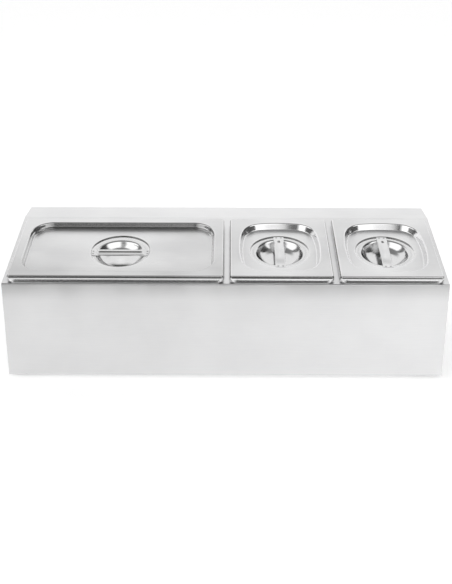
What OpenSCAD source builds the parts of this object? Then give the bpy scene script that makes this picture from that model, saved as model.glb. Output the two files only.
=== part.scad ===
// Countertop condiment station: a folded sheet-metal stand with a sloping deck, one
// wide and two small food pans hung in the deck, and a lift-off lid on each pan.
// Millimetres. +X runs to the right, +Y to the back, +Z up. The origin lies on the
// table, under the middle of the stand.

/* [Stand] */
// Height of the front face, without the feet
front_h = 151; // [150:1:200]
// Slope of the deck, which rises to the back
deck_tilt = 12; // [6:0.5:14]
// Plain deck in front of the lids, along the slope
front_land = 5.5; // [4:0.5:20]
// Plain deck behind the lids, along the slope
rear_land = 21.5; // [8:0.5:60]
// Depth of the level ledge behind the deck
ledge_d = 59; // [45:1:100]
// Deck outside the end lids, at each side
side_margin = 7; // [5:0.5:20]
// Deck between two neighbouring lids
lid_gap = 9; // [5:0.5:20]
// Thickness of the stand's sheet
stand_t = 1; // [0.8:0.1:1.5]
// Inside radius of the stand's folds
fold_r = 1.6; // [1.5:0.1:3]
// Width of the inward returns along the bottom edges
return_w = 36; // [34:1:40]
// Width of the end panels' welding flanges
weld_flange_w = 12; // [6:0.5:13]

/* [Feet] */
// Radius of a rubber foot where it meets the stand
foot_r = 10; // [8:0.5:11]
// Height of a foot
foot_h = 5; // [4:0.5:12]
// How much narrower a foot is at the table
foot_taper = 1; // [0:0.1:2]
// Distance from the stand's outer faces to a foot's axis
foot_inset = 24; // [20:1:28]
// Radius of the foot screws
screw_r = 2; // [1.5:0.1:2.5]
// Radius of the screws' heads
screw_head_r = 3.8; // [3.2:0.1:4.5]
// Height of the screws' heads
screw_head_h = 2; // [1.5:0.1:2.5]
// Outer radius of the washers
washer_r = 4.5; // [4:0.1:6]
// Thickness of the washers
washer_t = 0.8; // [0.5:0.1:1.2]
// Width of the nuts across their flats
nut_w = 7; // [6.5:0.1:8]
// Height of the nuts
nut_h = 3.2; // [2.5:0.1:4]

/* [Pans] */
// Thickness of the pans' sheet
pan_t = 0.8; // [0.6:0.1:1]
// Depth of the pans, from the flange's top to the inside of the bottom
pan_depth = 148; // [60:1:150]
// Height of the turned-down edge that stands on the deck
pan_edge_h = 4.5; // [3:0.5:6]
// How far that edge stands out beyond the lid
pan_edge_out = 1.3; // [1.3:0.1:2.4]
// Corner radius of that edge
pan_edge_corner_r = 14; // [8:1:18]
// Width of the flange round the pan's mouth
pan_flange_w = 12; // [10:0.5:13]
// Length of the wall above the step that keeps pans from jamming in a stack
pan_upper_wall = 16; // [10:1:24]
// Length of that step's slope
pan_step_l = 0.8; // [0.5:0.1:2]
// Lean of the wall away from upright
pan_draft = 3; // [1:0.5:4]
// Inside radius between the wall and the bottom
pan_foot_r = 14; // [6:1:16]
// Room between a pan's wall and its cut-out in the deck
cutout_gap = 2.5; // [1.5:0.1:4]
// Corner radius of the cut-outs, tighter than the pans' own corners
cutout_corner_r = 18; // [12:1:30]

/* [Lids] */
// Width of the wide lid
large_lid_w = 325; // [260:1:400]
// Width of the small lids
small_lid_w = 156; // [150:1:200]
// Size of every lid from front to back
lid_d = 176; // [165:1:200]
// Thickness of the lids' sheet
lid_t = 0.8; // [0.6:0.1:1]
// Height of a lid's turned-down rim
lid_rim_h = 5.5; // [4:0.5:8]
// Outer corner radius of a lid
lid_corner_r = 4.5; // [4:0.5:8]
// Width of the flat rim, from the lid's edge to its recess
lid_rim_w = 14; // [13:0.5:16]
// Distance from a lid's edges to the centres that its recess corners turn about
corner_centre = 50; // [46:1:54]
// Depth of the recess
recess_depth = 9.2; // [7:0.1:12]
// Steepness of the recess wall
recess_angle = 65; // [55:1:75]
// Radius of the round step that holds the handle
ring_r = 47; // [47:0.5:49]
// Depth of that step
ring_depth = 1.6; // [1.4:0.1:2.4]
// Radius of the finger dish under the handle
dish_r = 40; // [36:0.5:40]
// Depth of the dish below the step
dish_depth = 13; // [10:0.5:16]
// Inside radius between the dish's wall and its floor
dish_floor_r = 14; // [8:1:16]
// How far the wide lid's dish and handle lie in front of the middle of its round step
large_grip_forward = 4.2; // [0:0.6:4.2]

/* [Handles] */
// Width of a handle strap
handle_w = 16; // [13:0.5:20]
// Thickness of the strap
handle_t = 1.2; // [1:0.1:1.3]
// Height of the strap's crown above the floor of the recess
handle_rise = 1.2; // [1:0.1:2]
// Half the angle through which the strap's crown curves across its width
crown_angle = 14; // [8:1:20]
// Length of the strap's turned-down edges below their folds
handle_edge_l = 0.6; // [0.4:0.1:0.8]
// Half length of the crowned stretch over the dish
crown_half_l = 35; // [30:0.5:35]
// Radius of the hanging hole in the small handles
hang_hole_r = 2.3; // [1.5:0.1:3]
// Distance from the handle's middle to the middle of that hole
hang_hole_at = 29; // [18:0.5:29]
// Distance from the end of the crowned stretch to the groove in the wide lid's handle
groove_end_gap = 0.5; // [0.5:0.5:12]
// Width of that groove
groove_w = 5.5; // [4:0.5:6]
// Depth of that groove
groove_depth = 1.6; // [1:0.1:1.8]

/* [Hidden] */
$fn = 64;

// Length by which a flat sheet runs into the folded one that carries it on, and the
// shorter one at the dish's mouth
joint_lap = 1;
dish_lap = 0.5;
// Hairline between a loose piece and what it rests on, and between welded sheets
seat_gap = 0.1;
weld_gap = 0.05;
// Furthest that the straight steps of a fold lie inside its true round
fold_tolerance = 0.02;
// Slack round the foot screws, and between their threads and the nuts
screw_slack = 0.25;
thread_slack = 0.05;
// Depth of a screw's head below the foot's underside, and its end above the nut
head_sunk = 0.6;
screw_end = 1;
// Inside radii of the pan's turned-down edge, mouth and stacking step
pan_edge_r = 0.5;
pan_mouth_r = 2.2;
pan_step_r = 1;
// Steepness of the stacking step against the wall
pan_step_angle = 45;
// Inside radii of the lid's rim and of the recess wall's top and foot
lid_rim_r = 1.2;
recess_top_r = 1.7;
recess_foot_r = 2.5;
// Inside radius and steepness of the ring step's two folds
ring_fold_r = 0.3;
ring_angle = 75;
// Inside radius at the dish's mouth, and steepness of its wall
dish_mouth_r = 4;
dish_angle = 62;
// Room between the handle's ends and the foot of the ring step
handle_end_gap = 0.2;
// Length over which the crowned strap flattens out, and of a slice that it starts from
handle_blend_l = 3;
slice_l = 0.1;
// Inside radius of the strap's turned-down edges
handle_edge_r = 0.6;
// Radius, depth and places of the strap's spot welds
weld_r = 1.5;
weld_depth = 0.2;
weld_at = [3.7, dish_r + 2.4];

// Sizes that follow from the ones above
lid_widths = [large_lid_w, small_lid_w, small_lid_w];
stand_w = 2 * side_margin + large_lid_w + 2 * small_lid_w + 2 * lid_gap;
deck_l = front_land + lid_d + rear_land;
deck_run = deck_l * cos(deck_tilt);
stand_d = deck_run + ledge_d;
back_h = front_h + deck_l * sin(deck_tilt);
front_y = -stand_d / 2;
front_fold = 90 - deck_tilt;
foot_x = stand_w / 2 - foot_inset;
foot_y = stand_d / 2 - foot_inset;
return_stack = 2 * stand_t + weld_gap;
pan_top = seat_gap + pan_edge_h;
lid_foot = pan_top + seat_gap;
lid_top = lid_foot + lid_rim_h;
lid_x = [
    -stand_w / 2 + side_margin + large_lid_w / 2,
    stand_w / 2 - side_margin - small_lid_w - lid_gap - small_lid_w / 2,
    stand_w / 2 - side_margin - small_lid_w / 2
];
// Where the pan's mouth and the lid's recess turn their corners
mouth_corner_r = corner_centre + pan_edge_out - pan_flange_w;
recess_corner_r = corner_centre - lid_rim_w;
// The pan's wall, from its flange to its bottom
pan_turns = [
    [90 - pan_draft, pan_mouth_r],
    [-pan_step_angle, pan_step_r],
    [pan_step_angle, pan_step_r],
    [pan_draft - 90, pan_foot_r]
];
pan_path = stretched(
    pan_t, [joint_lap, pan_upper_wall, pan_step_l, 0, joint_lap], pan_turns, 3, pan_depth
);
// The wall of the lid's recess, from the rim to the recess floor
recess_turns = [[recess_angle, recess_top_r], [-recess_angle, recess_foot_r]];
recess_path = stretched(lid_t, [joint_lap, 0, joint_lap], recess_turns, 1, recess_depth);
// The ring step, from the recess floor to the mouth of the dish
ring_turns = [[ring_angle, ring_fold_r], [-ring_angle, ring_fold_r]];
ring_path = stretched(lid_t, [joint_lap, 0, joint_lap], ring_turns, 1, ring_depth);
shelf_r = ring_r + 2 * joint_lap - path_end(lid_t, ring_path, ring_turns)[0];
// The dish, from its mouth to the edge of its floor
dish_turns = [[dish_angle, dish_mouth_r], [-dish_angle, dish_floor_r]];
dish_path = stretched(lid_t, [dish_lap, 0, joint_lap], dish_turns, 1, dish_depth);
dish_flat_r = dish_r + dish_lap + joint_lap - path_end(lid_t, dish_path, dish_turns)[0];
// The handle strap's crown, which curves across its width between two folded edges
handle_fold = handle_edge_r + handle_t;
crown_r = (handle_w / 2 - handle_fold * (1 - sin(crown_angle))) / sin(crown_angle) - handle_t;
crown_lengths = [handle_edge_l, 0, 0, handle_edge_l];
crown_turns = [
    [crown_angle - 90, handle_edge_r],
    [-2 * crown_angle, crown_r],
    [crown_angle - 90, handle_edge_r]
];
crown_h = handle_edge_l + handle_fold * cos(crown_angle)
    + (crown_r + handle_t) * (1 - cos(crown_angle));
// Radius of the round that the groove's bottom follows, and half its length
groove_r = (groove_w * groove_w / 4 + groove_depth * groove_depth) / (2 * groove_depth);
groove_half_l = crown_half_l - groove_end_gap;

// Number of straight steps that draw a fold of a given angle and outer radius
function fold_steps(angle, r) = ceil(abs(angle) / (2 * acos(1 - fold_tolerance / r)));

// Points and headings along a folded path. It starts along +X, and a turn is an angle,
// positive to the left, and the fold's inside radius. The sheet is on the path's right.
function stations(t, lengths, turns, i = 0, at = [0, 0], heading = 0) =
    let (
        flat_end = at + lengths[i] * [cos(heading), sin(heading)],
        flat = lengths[i] > 0 ? [[at, heading], [flat_end, heading]] : [[at, heading]]
    )
    i >= len(turns) ? flat :
    let (
        angle = turns[i][0],
        path_r = angle > 0 ? turns[i][1] : -turns[i][1] - t,
        centre = flat_end + path_r * [-sin(heading), cos(heading)],
        steps = fold_steps(angle, turns[i][1] + t),
        fold = [
            for (k = [1:steps])
                let (h = heading + angle * k / steps)
                [centre + path_r * [sin(h), -cos(h)], h]
        ],
        inner = [for (k = [0:1:steps - 2]) fold[k]],
        last = fold[steps - 1]
    )
    concat(flat, inner, stations(t, lengths, turns, i + 1, last[0], last[1]));

// Outline of the folded sheet on such a path
function sheet_outline(t, lengths, turns) =
    let (path = stations(t, lengths, turns))
    concat(
        [for (s = path) s[0]],
        [for (k = [len(path) - 1:-1:0]) path[k][0] + t * [sin(path[k][1]), -cos(path[k][1])]]
    );

// Place where such a path ends, along its first heading and to its left
function path_end(t, lengths, turns) =
    let (path = stations(t, lengths, turns))
    path[len(path) - 1][0];

// Direction of a path's flat number k
function heading_at(turns, k) = k == 0 ? 0 : turns[k - 1][0] + heading_at(turns, k - 1);

// A path's lengths, with flat number k made longer until the path ends at a given drop
function stretched(t, lengths, turns, k, drop) =
    let (more = (drop - path_end(t, lengths, turns)[1]) / sin(heading_at(turns, k)))
    [for (i = [0:len(lengths) - 1]) lengths[i] + (i == k ? more : 0)];

// Length that a fold takes from each flat beside it, on the outer face
function setback(turn, r) = (r + stand_t) * tan(turn / 2);

// Shortening of an outer face when it is moved inward round a corner
function inset_back(turn, inset) = inset * tan(turn / 2);

// Profile of a folded sheet
module folded_sheet(t, lengths, turns) {
    polygon(sheet_outline(t, lengths, turns));
}

// The same profile laid so that it starts inward, and its left turns go down
module drawn_sheet(x, z, t, lengths, turns) {
    translate([x, z])
        rotate(180)
            folded_sheet(t, lengths, turns);
}

// Rectangle with round corners, centred
module round_rect(w, d, r) {
    square([w - 2 * r, d], center = true);
    square([w, d - 2 * r], center = true);
    for (x = [-1, 1], y = [-1, 1])
        translate([x * (w / 2 - r), y * (d / 2 - r)])
            circle(r = r);
}

// Carries a profile round a rectangle whose corner centres lie at a given inset. The
// profile's X runs outward from the corner centres, and its Y is the height.
module swept_round(w, d, inset) {
    for (side = [0:3]) {
        out = side % 2 == 0 ? w / 2 - inset : d / 2 - inset;
        along = side % 2 == 0 ? d / 2 - inset : w / 2 - inset;
        rotate(90 * side)
            translate([out, along, 0]) {
                rotate([90, 0, 0])
                    linear_extrude(2 * along)
                        children();
                rotate_extrude(angle = 90)
                    children();
            }
    }
}

// Moves its children from the deck's own frame to the stand. There X is to the right,
// Y runs up the slope from the front fold, and Z stands square to the deck.
module on_deck() {
    translate([0, front_y, foot_h + front_h])
        rotate([deck_tilt, 0, 0])
            children();
}

// Moves its children to the middle of one lid's place on the deck
module at_lid(i) {
    on_deck()
        translate([lid_x[i], front_land + lid_d / 2, 0])
            children();
}

// Lays a side-view profile into the stand, from one X to another
module side_view(x_from, x_to) {
    translate([x_from, front_y, 0])
        rotate([90, 0, 90])
            linear_extrude(x_to - x_from)
                children();
}

// Side view of a sheet that wraps the stand at a depth below its outer faces, with
// folds of a given inside radius and a return along the bottom at each end
module wrap_profile(inset, r, return_l) {
    at_front = inset_back(front_fold, inset) + setback(front_fold, r);
    at_ledge = inset_back(deck_tilt, inset) + setback(deck_tilt, r);
    at_square = inset + setback(90, r);
    translate([inset + return_l, foot_h + inset])
        rotate(180)
            folded_sheet(
                stand_t,
                [
                    return_l + inset - at_square,
                    front_h - at_square - at_front,
                    deck_l - at_front - at_ledge,
                    ledge_d - at_ledge - at_square,
                    back_h - 2 * at_square,
                    return_l + inset - at_square
                ],
                [[-90, r], [-front_fold, r], [-deck_tilt, r], [-90, r], [-90, r]]
            );
}

// Holes through the bottom returns for the foot screws
module foot_screw_holes() {
    for (x = [-1, 1], y = [-1, 1])
        translate([x * foot_x, y * foot_y, foot_h - stand_t])
            cylinder(r = screw_r + screw_slack, h = 4 * stand_t);
}

// Outline of the hole that a pan hangs in
module pan_cutout(w) {
    grow = 2 * (mouth_corner_r - pan_mouth_r + cutout_gap - corner_centre);
    round_rect(w + grow, lid_d + grow, cutout_corner_r);
}

// The sheet that forms the front, the deck, the ledge, the back and two bottom returns
module front_and_deck_panel() {
    color("gainsboro")
        difference() {
            side_view(-stand_w / 2, stand_w / 2)
                wrap_profile(0, fold_r, return_w);
            for (i = [0:2])
                at_lid(i)
                    translate([0, 0, -2 * stand_t])
                        linear_extrude(4 * stand_t)
                            pan_cutout(lid_widths[i]);
            foot_screw_holes();
        }
}

// Sheet that closes the right end, with welding flanges inside the wrapped sheet and a
// bottom return that lies on the wrapped sheet's returns
module end_panel() {
    outer = stand_w / 2;
    inset = stand_t + weld_gap;
    inner_r = fold_r - inset;
    middle = inset + stand_t / 2;
    flat_from = stand_t + fold_r;
    difference() {
        union() {
            side_view(outer - weld_flange_w, outer)
                wrap_profile(inset, inner_r, return_w);
            side_view(outer - return_w, outer)
                translate([flat_from, foot_h + inset])
                    square([stand_d - 2 * flat_from, stand_t]);
            side_view(outer - stand_t, outer)
                polygon([
                    [middle, foot_h + middle],
                    [middle, foot_h + front_h - inset_back(front_fold, middle)],
                    [deck_run + inset_back(deck_tilt, middle), foot_h + back_h - middle],
                    [stand_d - middle, foot_h + back_h - middle],
                    [stand_d - middle, foot_h + middle]
                ]);
        }
        foot_screw_holes();
    }
}

module right_end_panel() {
    color("silver")
        end_panel();
}

module left_end_panel() {
    color("silver")
        mirror([1, 0, 0])
            end_panel();
}

// One rubber foot, with a counterbore that keeps the screw's head off the table
module foot(x, y) {
    bore_r = screw_r + screw_slack;
    head_room_r = screw_head_r + 2 * screw_slack;
    head_room_h = head_sunk + screw_head_h;
    color("dimgray")
        translate([x * foot_x, y * foot_y, 0])
            rotate_extrude()
                polygon([
                    [head_room_r, 0],
                    [foot_r - foot_taper, 0],
                    [foot_r, foot_h],
                    [bore_r, foot_h],
                    [bore_r, head_room_h],
                    [head_room_r, head_room_h]
                ]);
}

module foot_front_left() { foot(-1, -1); }
module foot_front_right() { foot(1, -1); }
module foot_rear_left() { foot(-1, 1); }
module foot_rear_right() { foot(1, 1); }

// Places its children on every foot's axis, at a given height
module on_feet(z) {
    for (x = [-1, 1], y = [-1, 1])
        translate([x * foot_x, y * foot_y, z])
            children();
}

// Four screws that come up through the feet, with their heads in the counterbores
module foot_screws() {
    shank_top = foot_h + return_stack + washer_t + nut_h + screw_end;
    color("darkgray")
        on_feet(head_sunk) {
            cylinder(r = screw_head_r, h = screw_head_h);
            cylinder(r = screw_r, h = shank_top - head_sunk);
        }
}

// Four washers on top of the doubled returns
module foot_washers() {
    color("lightgray")
        on_feet(foot_h + return_stack)
            linear_extrude(washer_t)
                difference() {
                    circle(r = washer_r);
                    circle(r = screw_r + screw_slack);
                }
}

// Four hexagonal nuts on the washers
module foot_nuts() {
    color("darkgray")
        on_feet(foot_h + return_stack + washer_t)
            linear_extrude(nut_h)
                difference() {
                    circle(r = nut_w / 2 / cos(30), $fn = 6);
                    circle(r = screw_r + thread_slack);
                }
}

// One pan: a turned-down edge and a flange round its mouth, walls with a stacking step,
// and a flat bottom with a round foot
module pan(w) {
    edge_w = w + 2 * pan_edge_out;
    edge_d = lid_d + 2 * pan_edge_out;
    edge_fold = pan_edge_r + pan_t;
    wall_end_r = mouth_corner_r + joint_lap - path_end(pan_t, pan_path, pan_turns)[0];
    bottom_r = wall_end_r + joint_lap;
    bottom_grow = 2 * (bottom_r - corner_centre);
    mouth_grow = 2 * (mouth_corner_r - corner_centre);
    // turned-down edge
    swept_round(edge_w, edge_d, pan_edge_corner_r)
        translate([pan_edge_corner_r - edge_fold - joint_lap, pan_top])
            folded_sheet(pan_t, [joint_lap, pan_edge_h - edge_fold], [[-90, pan_edge_r]]);
    // flange
    translate([0, 0, pan_top - pan_t])
        linear_extrude(pan_t)
            difference() {
                round_rect(
                    edge_w - 2 * edge_fold, edge_d - 2 * edge_fold, pan_edge_corner_r - edge_fold
                );
                round_rect(w + mouth_grow, lid_d + mouth_grow, mouth_corner_r);
            }
    // wall
    swept_round(w, lid_d, corner_centre)
        drawn_sheet(
            mouth_corner_r + joint_lap, pan_top - pan_t, pan_t, pan_path, pan_turns
        );
    // bottom
    translate([0, 0, pan_top - pan_depth - pan_t])
        linear_extrude(pan_t)
            round_rect(w + bottom_grow, lid_d + bottom_grow, bottom_r);
}

module large_pan() {
    color("lightgray")
        at_lid(0)
            pan(large_lid_w);
}

module middle_pan() {
    color("lightgray")
        at_lid(1)
            pan(small_lid_w);
}

module right_pan() {
    color("lightgray")
        at_lid(2)
            pan(small_lid_w);
}

// One lid: a turned-down rim that stands on the pan's flange, a recess with sloping
// walls, a round step for the handle, and a finger dish at a distance in front of its middle
module lid(w, forward) {
    rim_fold = lid_rim_r + lid_t;
    mouth_grow = 2 * (recess_corner_r - corner_centre);
    floor_r = recess_corner_r + 2 * joint_lap - path_end(lid_t, recess_path, recess_turns)[0];
    floor_grow = 2 * (floor_r - corner_centre);
    recess_floor = lid_top - recess_depth;
    shelf = recess_floor - ring_depth;
    // turned-down rim
    swept_round(w, lid_d, lid_corner_r)
        translate([lid_corner_r - rim_fold - joint_lap, lid_top])
            folded_sheet(lid_t, [joint_lap, lid_rim_h - rim_fold], [[-90, lid_rim_r]]);
    // flat rim
    translate([0, 0, lid_top - lid_t])
        linear_extrude(lid_t)
            difference() {
                round_rect(w - 2 * rim_fold, lid_d - 2 * rim_fold, lid_corner_r - rim_fold);
                round_rect(w + mouth_grow, lid_d + mouth_grow, recess_corner_r);
            }
    // recess wall
    swept_round(w, lid_d, corner_centre)
        drawn_sheet(
            recess_corner_r + joint_lap, lid_top - lid_t, lid_t, recess_path, recess_turns
        );
    // recess floor
    translate([0, 0, recess_floor - lid_t])
        linear_extrude(lid_t)
            difference() {
                round_rect(w + floor_grow, lid_d + floor_grow, floor_r);
                circle(r = ring_r);
            }
    // ring step
    rotate_extrude()
        drawn_sheet(ring_r + joint_lap, recess_floor - lid_t, lid_t, ring_path, ring_turns);
    // shelf inside the step
    translate([0, 0, shelf - lid_t])
        linear_extrude(lid_t)
            difference() {
                circle(r = shelf_r);
                translate([0, -forward])
                    circle(r = dish_r);
            }
    // dish
    translate([0, -forward, 0]) {
        rotate_extrude()
            drawn_sheet(dish_r + dish_lap, shelf - lid_t, lid_t, dish_path, dish_turns);
        translate([0, 0, shelf - dish_depth - lid_t])
            cylinder(r = dish_flat_r, h = lid_t);
    }
}

module large_lid() {
    color("gainsboro")
        at_lid(0)
            lid(large_lid_w, large_grip_forward);
}

module middle_lid() {
    color("gainsboro")
        at_lid(1)
            lid(small_lid_w, 0);
}

module right_lid() {
    color("gainsboro")
        at_lid(2)
            lid(small_lid_w, 0);
}

// Profile across a handle strap's crowned stretch, standing on its turned-down edges
module crown_profile() {
    translate([-handle_w / 2, 0])
        rotate(90)
            folded_sheet(handle_t, crown_lengths, crown_turns);
}

// Stands a profile upright at a distance along the strap, and draws it out from there
module along_strap(from, l) {
    translate([0, from + l, 0])
        rotate([90, 0, 0])
            linear_extrude(l)
                children();
}

// Round form of the pressed groove under the top of a strap's crown, grown all round
module groove_form(crown_top, grow) {
    end = groove_half_l - groove_w / 2;
    translate([0, 0, crown_top - groove_depth + groove_r]) {
        rotate([90, 0, 0])
            cylinder(r = groove_r + grow, h = 2 * end, center = true);
        for (y = [-end, end])
            translate([0, y, 0])
                sphere(r = groove_r + grow);
    }
}

// One end of a strap, from its crowned stretch down to its flat tab on the ring step. The
// middle of that step lies at a distance to the strap's right.
module handle_end(shelf, crown_foot, aside) {
    tab_from = crown_half_l + handle_blend_l;
    hull() {
        along_strap(crown_half_l - slice_l, slice_l)
            translate([0, crown_foot])
                crown_profile();
        along_strap(tab_from, slice_l)
            translate([-handle_w / 2, shelf])
                square([handle_w, handle_t]);
    }
    difference() {
        translate([0, 0, shelf])
            linear_extrude(handle_t)
                intersection() {
                    translate([-handle_w / 2, tab_from])
                        square([handle_w, shelf_r]);
                    translate([aside, 0])
                        circle(r = shelf_r - handle_end_gap);
                }
        for (x = [-1, 1])
            translate([x * weld_at[0], weld_at[1], shelf + handle_t - weld_depth])
                cylinder(r = weld_r, h = 2 * weld_depth);
    }
}

// One handle strap, from front to back over the dish of a lid, with a hanging hole or a
// pressed groove
module handle(hanging_hole, grooved, aside) {
    recess_floor = lid_top - recess_depth;
    shelf = recess_floor - ring_depth;
    crown_top = recess_floor + handle_rise;
    crown_foot = crown_top - crown_h;
    difference() {
        union() {
            along_strap(-crown_half_l, 2 * crown_half_l)
                translate([0, crown_foot])
                    crown_profile();
            if (grooved)
                intersection() {
                    groove_form(crown_top, handle_t);
                    translate([-handle_w / 2, -crown_half_l, crown_foot])
                        cube([handle_w, 2 * crown_half_l, crown_h - handle_t / 2]);
                }
        }
        if (grooved)
            groove_form(crown_top, 0);
        if (hanging_hole)
            translate([0, hang_hole_at, crown_foot - 1])
                cylinder(r = hang_hole_r, h = crown_h + 2);
    }
    handle_end(shelf, crown_foot, aside);
    rotate(180)
        handle_end(shelf, crown_foot, -aside);
}

module large_lid_handle() {
    color("whitesmoke")
        at_lid(0)
            translate([0, -large_grip_forward, 0])
                rotate(90)
                    handle(false, true, large_grip_forward);
}

module middle_lid_handle() {
    color("whitesmoke")
        at_lid(1)
            handle(true, false, 0);
}

module right_lid_handle() {
    color("whitesmoke")
        at_lid(2)
            handle(true, false, 0);
}

front_and_deck_panel();
left_end_panel();
right_end_panel();
foot_front_left();
foot_front_right();
foot_rear_left();
foot_rear_right();
foot_screws();
foot_washers();
foot_nuts();
large_pan();
middle_pan();
right_pan();
large_lid();
middle_lid();
right_lid();
large_lid_handle();
middle_lid_handle();
right_lid_handle();
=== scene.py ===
"""Looks of a countertop condiment station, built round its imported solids.

The stand is one folded sheet with two end panels on four rubber feet. It carries one wide
and two small food pans, and each pan has a drawn steel lid with a strap handle.
"""

import logging
import math
from dataclasses import dataclass
from enum import Enum
from typing import Callable, Optional, Sequence

import bpy
import bmesh
from mathutils import Matrix, Vector
from mathutils.geometry import tessellate_polygon


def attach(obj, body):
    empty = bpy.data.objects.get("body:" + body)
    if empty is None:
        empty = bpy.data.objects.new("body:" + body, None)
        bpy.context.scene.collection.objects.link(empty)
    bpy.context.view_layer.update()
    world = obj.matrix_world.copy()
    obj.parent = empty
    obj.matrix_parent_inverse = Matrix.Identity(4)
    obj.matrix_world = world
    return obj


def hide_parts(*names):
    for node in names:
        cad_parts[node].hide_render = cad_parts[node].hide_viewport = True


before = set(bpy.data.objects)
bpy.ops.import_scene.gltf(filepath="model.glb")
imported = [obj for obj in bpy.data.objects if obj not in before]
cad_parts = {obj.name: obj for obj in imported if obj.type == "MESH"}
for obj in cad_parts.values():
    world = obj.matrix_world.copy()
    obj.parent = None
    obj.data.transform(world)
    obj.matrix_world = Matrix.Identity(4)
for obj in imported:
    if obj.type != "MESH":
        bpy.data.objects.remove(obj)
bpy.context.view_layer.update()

MM = 0.001
# How far beyond a flat's end a station has to lie, in millimetres, to count as past it
NEAR = 0.02
# Share of the way back at which a drawn sheet's rear wall starts
REAR_FROM = 0.8
# The range that a noise mostly keeps to
NOISE_RANGE = (0.3, 0.7)
# How much the height of a point shifts it in the plan layout, so that walls have a width there
PLAN_LIFT = 0.7
Point2 = tuple[float, float]
Point3 = tuple[float, float, float]
Colour = tuple[float, float, float]
LOG = logging.getLogger("condiment_station")


class PanSize(Enum):
    """The standard sizes of pan, by the width of their lid in millimetres."""

    WIDE = 325.0
    SMALL = 156.0


class Grain(Enum):
    """The ways a finish's noise can be drawn out, as its scales along X, Y and Z."""

    ALONG_X = (0.02, 1.0, 1.0)
    LONG_WAVES = (0.6, 1.0, 1.0)
    CLOUDY = (1.0, 1.0, 1.0)


def clamped(share: float) -> float:
    """Returns a share kept between 0 and 1."""
    return min(1.0, max(0.0, share))


def eased(share: float) -> float:
    """Returns a share from 0 to 1 with soft ends."""
    t = clamped(share)
    return t * t * (3 - 2 * t)


@dataclass(frozen=True)
class Fold:
    """One fold of a sheet: its angle in degrees, left turns positive, and inside radius."""

    angle: float
    radius: float
    steps: int = 0


@dataclass(frozen=True)
class Station:
    """A place along a folded sheet's section, with a point on each of its two faces."""

    face: Point2
    back: Point2
    run: float
    bent: bool

    def moved(self, x: float, z: float, turned: bool = False) -> "Station":
        """Returns the station moved to a start point, and turned half round if asked.

        Args:
            x: where the section starts, outward.
            z: where the section starts, upward.
            turned: whether the section runs inward, with its left turns going down.

        Returns:
            The station in its place.
        """
        s = -1.0 if turned else 1.0
        face = (x + s * self.face[0], z + s * self.face[1])
        back = (x + s * self.back[0], z + s * self.back[1])
        return Station(face, back, self.run, self.bent)


@dataclass(frozen=True)
class SheetPath:
    """The section of a folded sheet, as flats and the folds between them."""

    thickness: float
    flats: tuple[float, ...]
    folds: tuple[Fold, ...]
    support: float = 0.35
    fold_step: float = 9.0

    def stations(self) -> list[Station]:
        """Walks the section and returns its stations, from a start at the origin.

        Returns:
            Stations at both ends of each flat, close beside each fold and round it.
        """
        out: list[Station] = []
        x = z = run = heading = 0.0
        for i, flat in enumerate(self.flats):
            c, s = math.cos(heading), math.sin(heading)
            marks = [] if out else [0.0]
            if flat > 3 * self.support:
                marks += [self.support, flat - self.support]
            if flat > 0.0:
                marks.append(flat)
            for mark in marks:
                out.append(self._at(x + mark * c, z + mark * s, heading, run + mark, False))
            x, z, run = x + flat * c, z + flat * s, run + flat
            if i == len(self.folds):
                break
            fold = self.folds[i]
            turn = math.radians(fold.angle)
            r = fold.radius if turn > 0 else -fold.radius - self.thickness
            centre = (x - r * s, z + r * c)
            steps = fold.steps or max(3, math.ceil(abs(fold.angle) / self.fold_step))
            start = heading
            for k in range(1, steps + 1):
                heading = start + turn * k / steps
                x = centre[0] + r * math.sin(heading)
                z = centre[1] - r * math.cos(heading)
                run += abs(r * turn) / steps
                out.append(self._at(x, z, heading, run, k < steps))
        return out

    def _at(self, x: float, z: float, heading: float, run: float, bent: bool) -> Station:
        """Makes the station at a point of the path.

        Args:
            x: the point's distance outward.
            z: its height.
            heading: the path's direction there, in radians.
            run: the path's length up to there.
            bent: whether the point lies inside a fold.

        Returns:
            The station.
        """
        t = self.thickness
        back = (x + t * math.sin(heading), z - t * math.cos(heading))
        return Station((x, z), back, run, bent)

    def end(self) -> Point2:
        """Returns the point where the path ends."""
        return self.stations()[-1].face

    def stretched(self, flat: int, drop: float) -> "SheetPath":
        """Makes one flat longer until the path ends at a given drop.

        Args:
            flat: number of the flat that gives way.
            drop: distance to the left of the first heading at which the path has to end.

        Returns:
            The section with that flat's new length.
        """
        heading = math.radians(sum(f.angle for f in self.folds[:flat]))
        more = (drop - self.end()[1]) / math.sin(heading)
        flats = tuple(f + (more if i == flat else 0.0) for i, f in enumerate(self.flats))
        return SheetPath(self.thickness, flats, self.folds, self.support, self.fold_step)


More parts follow.
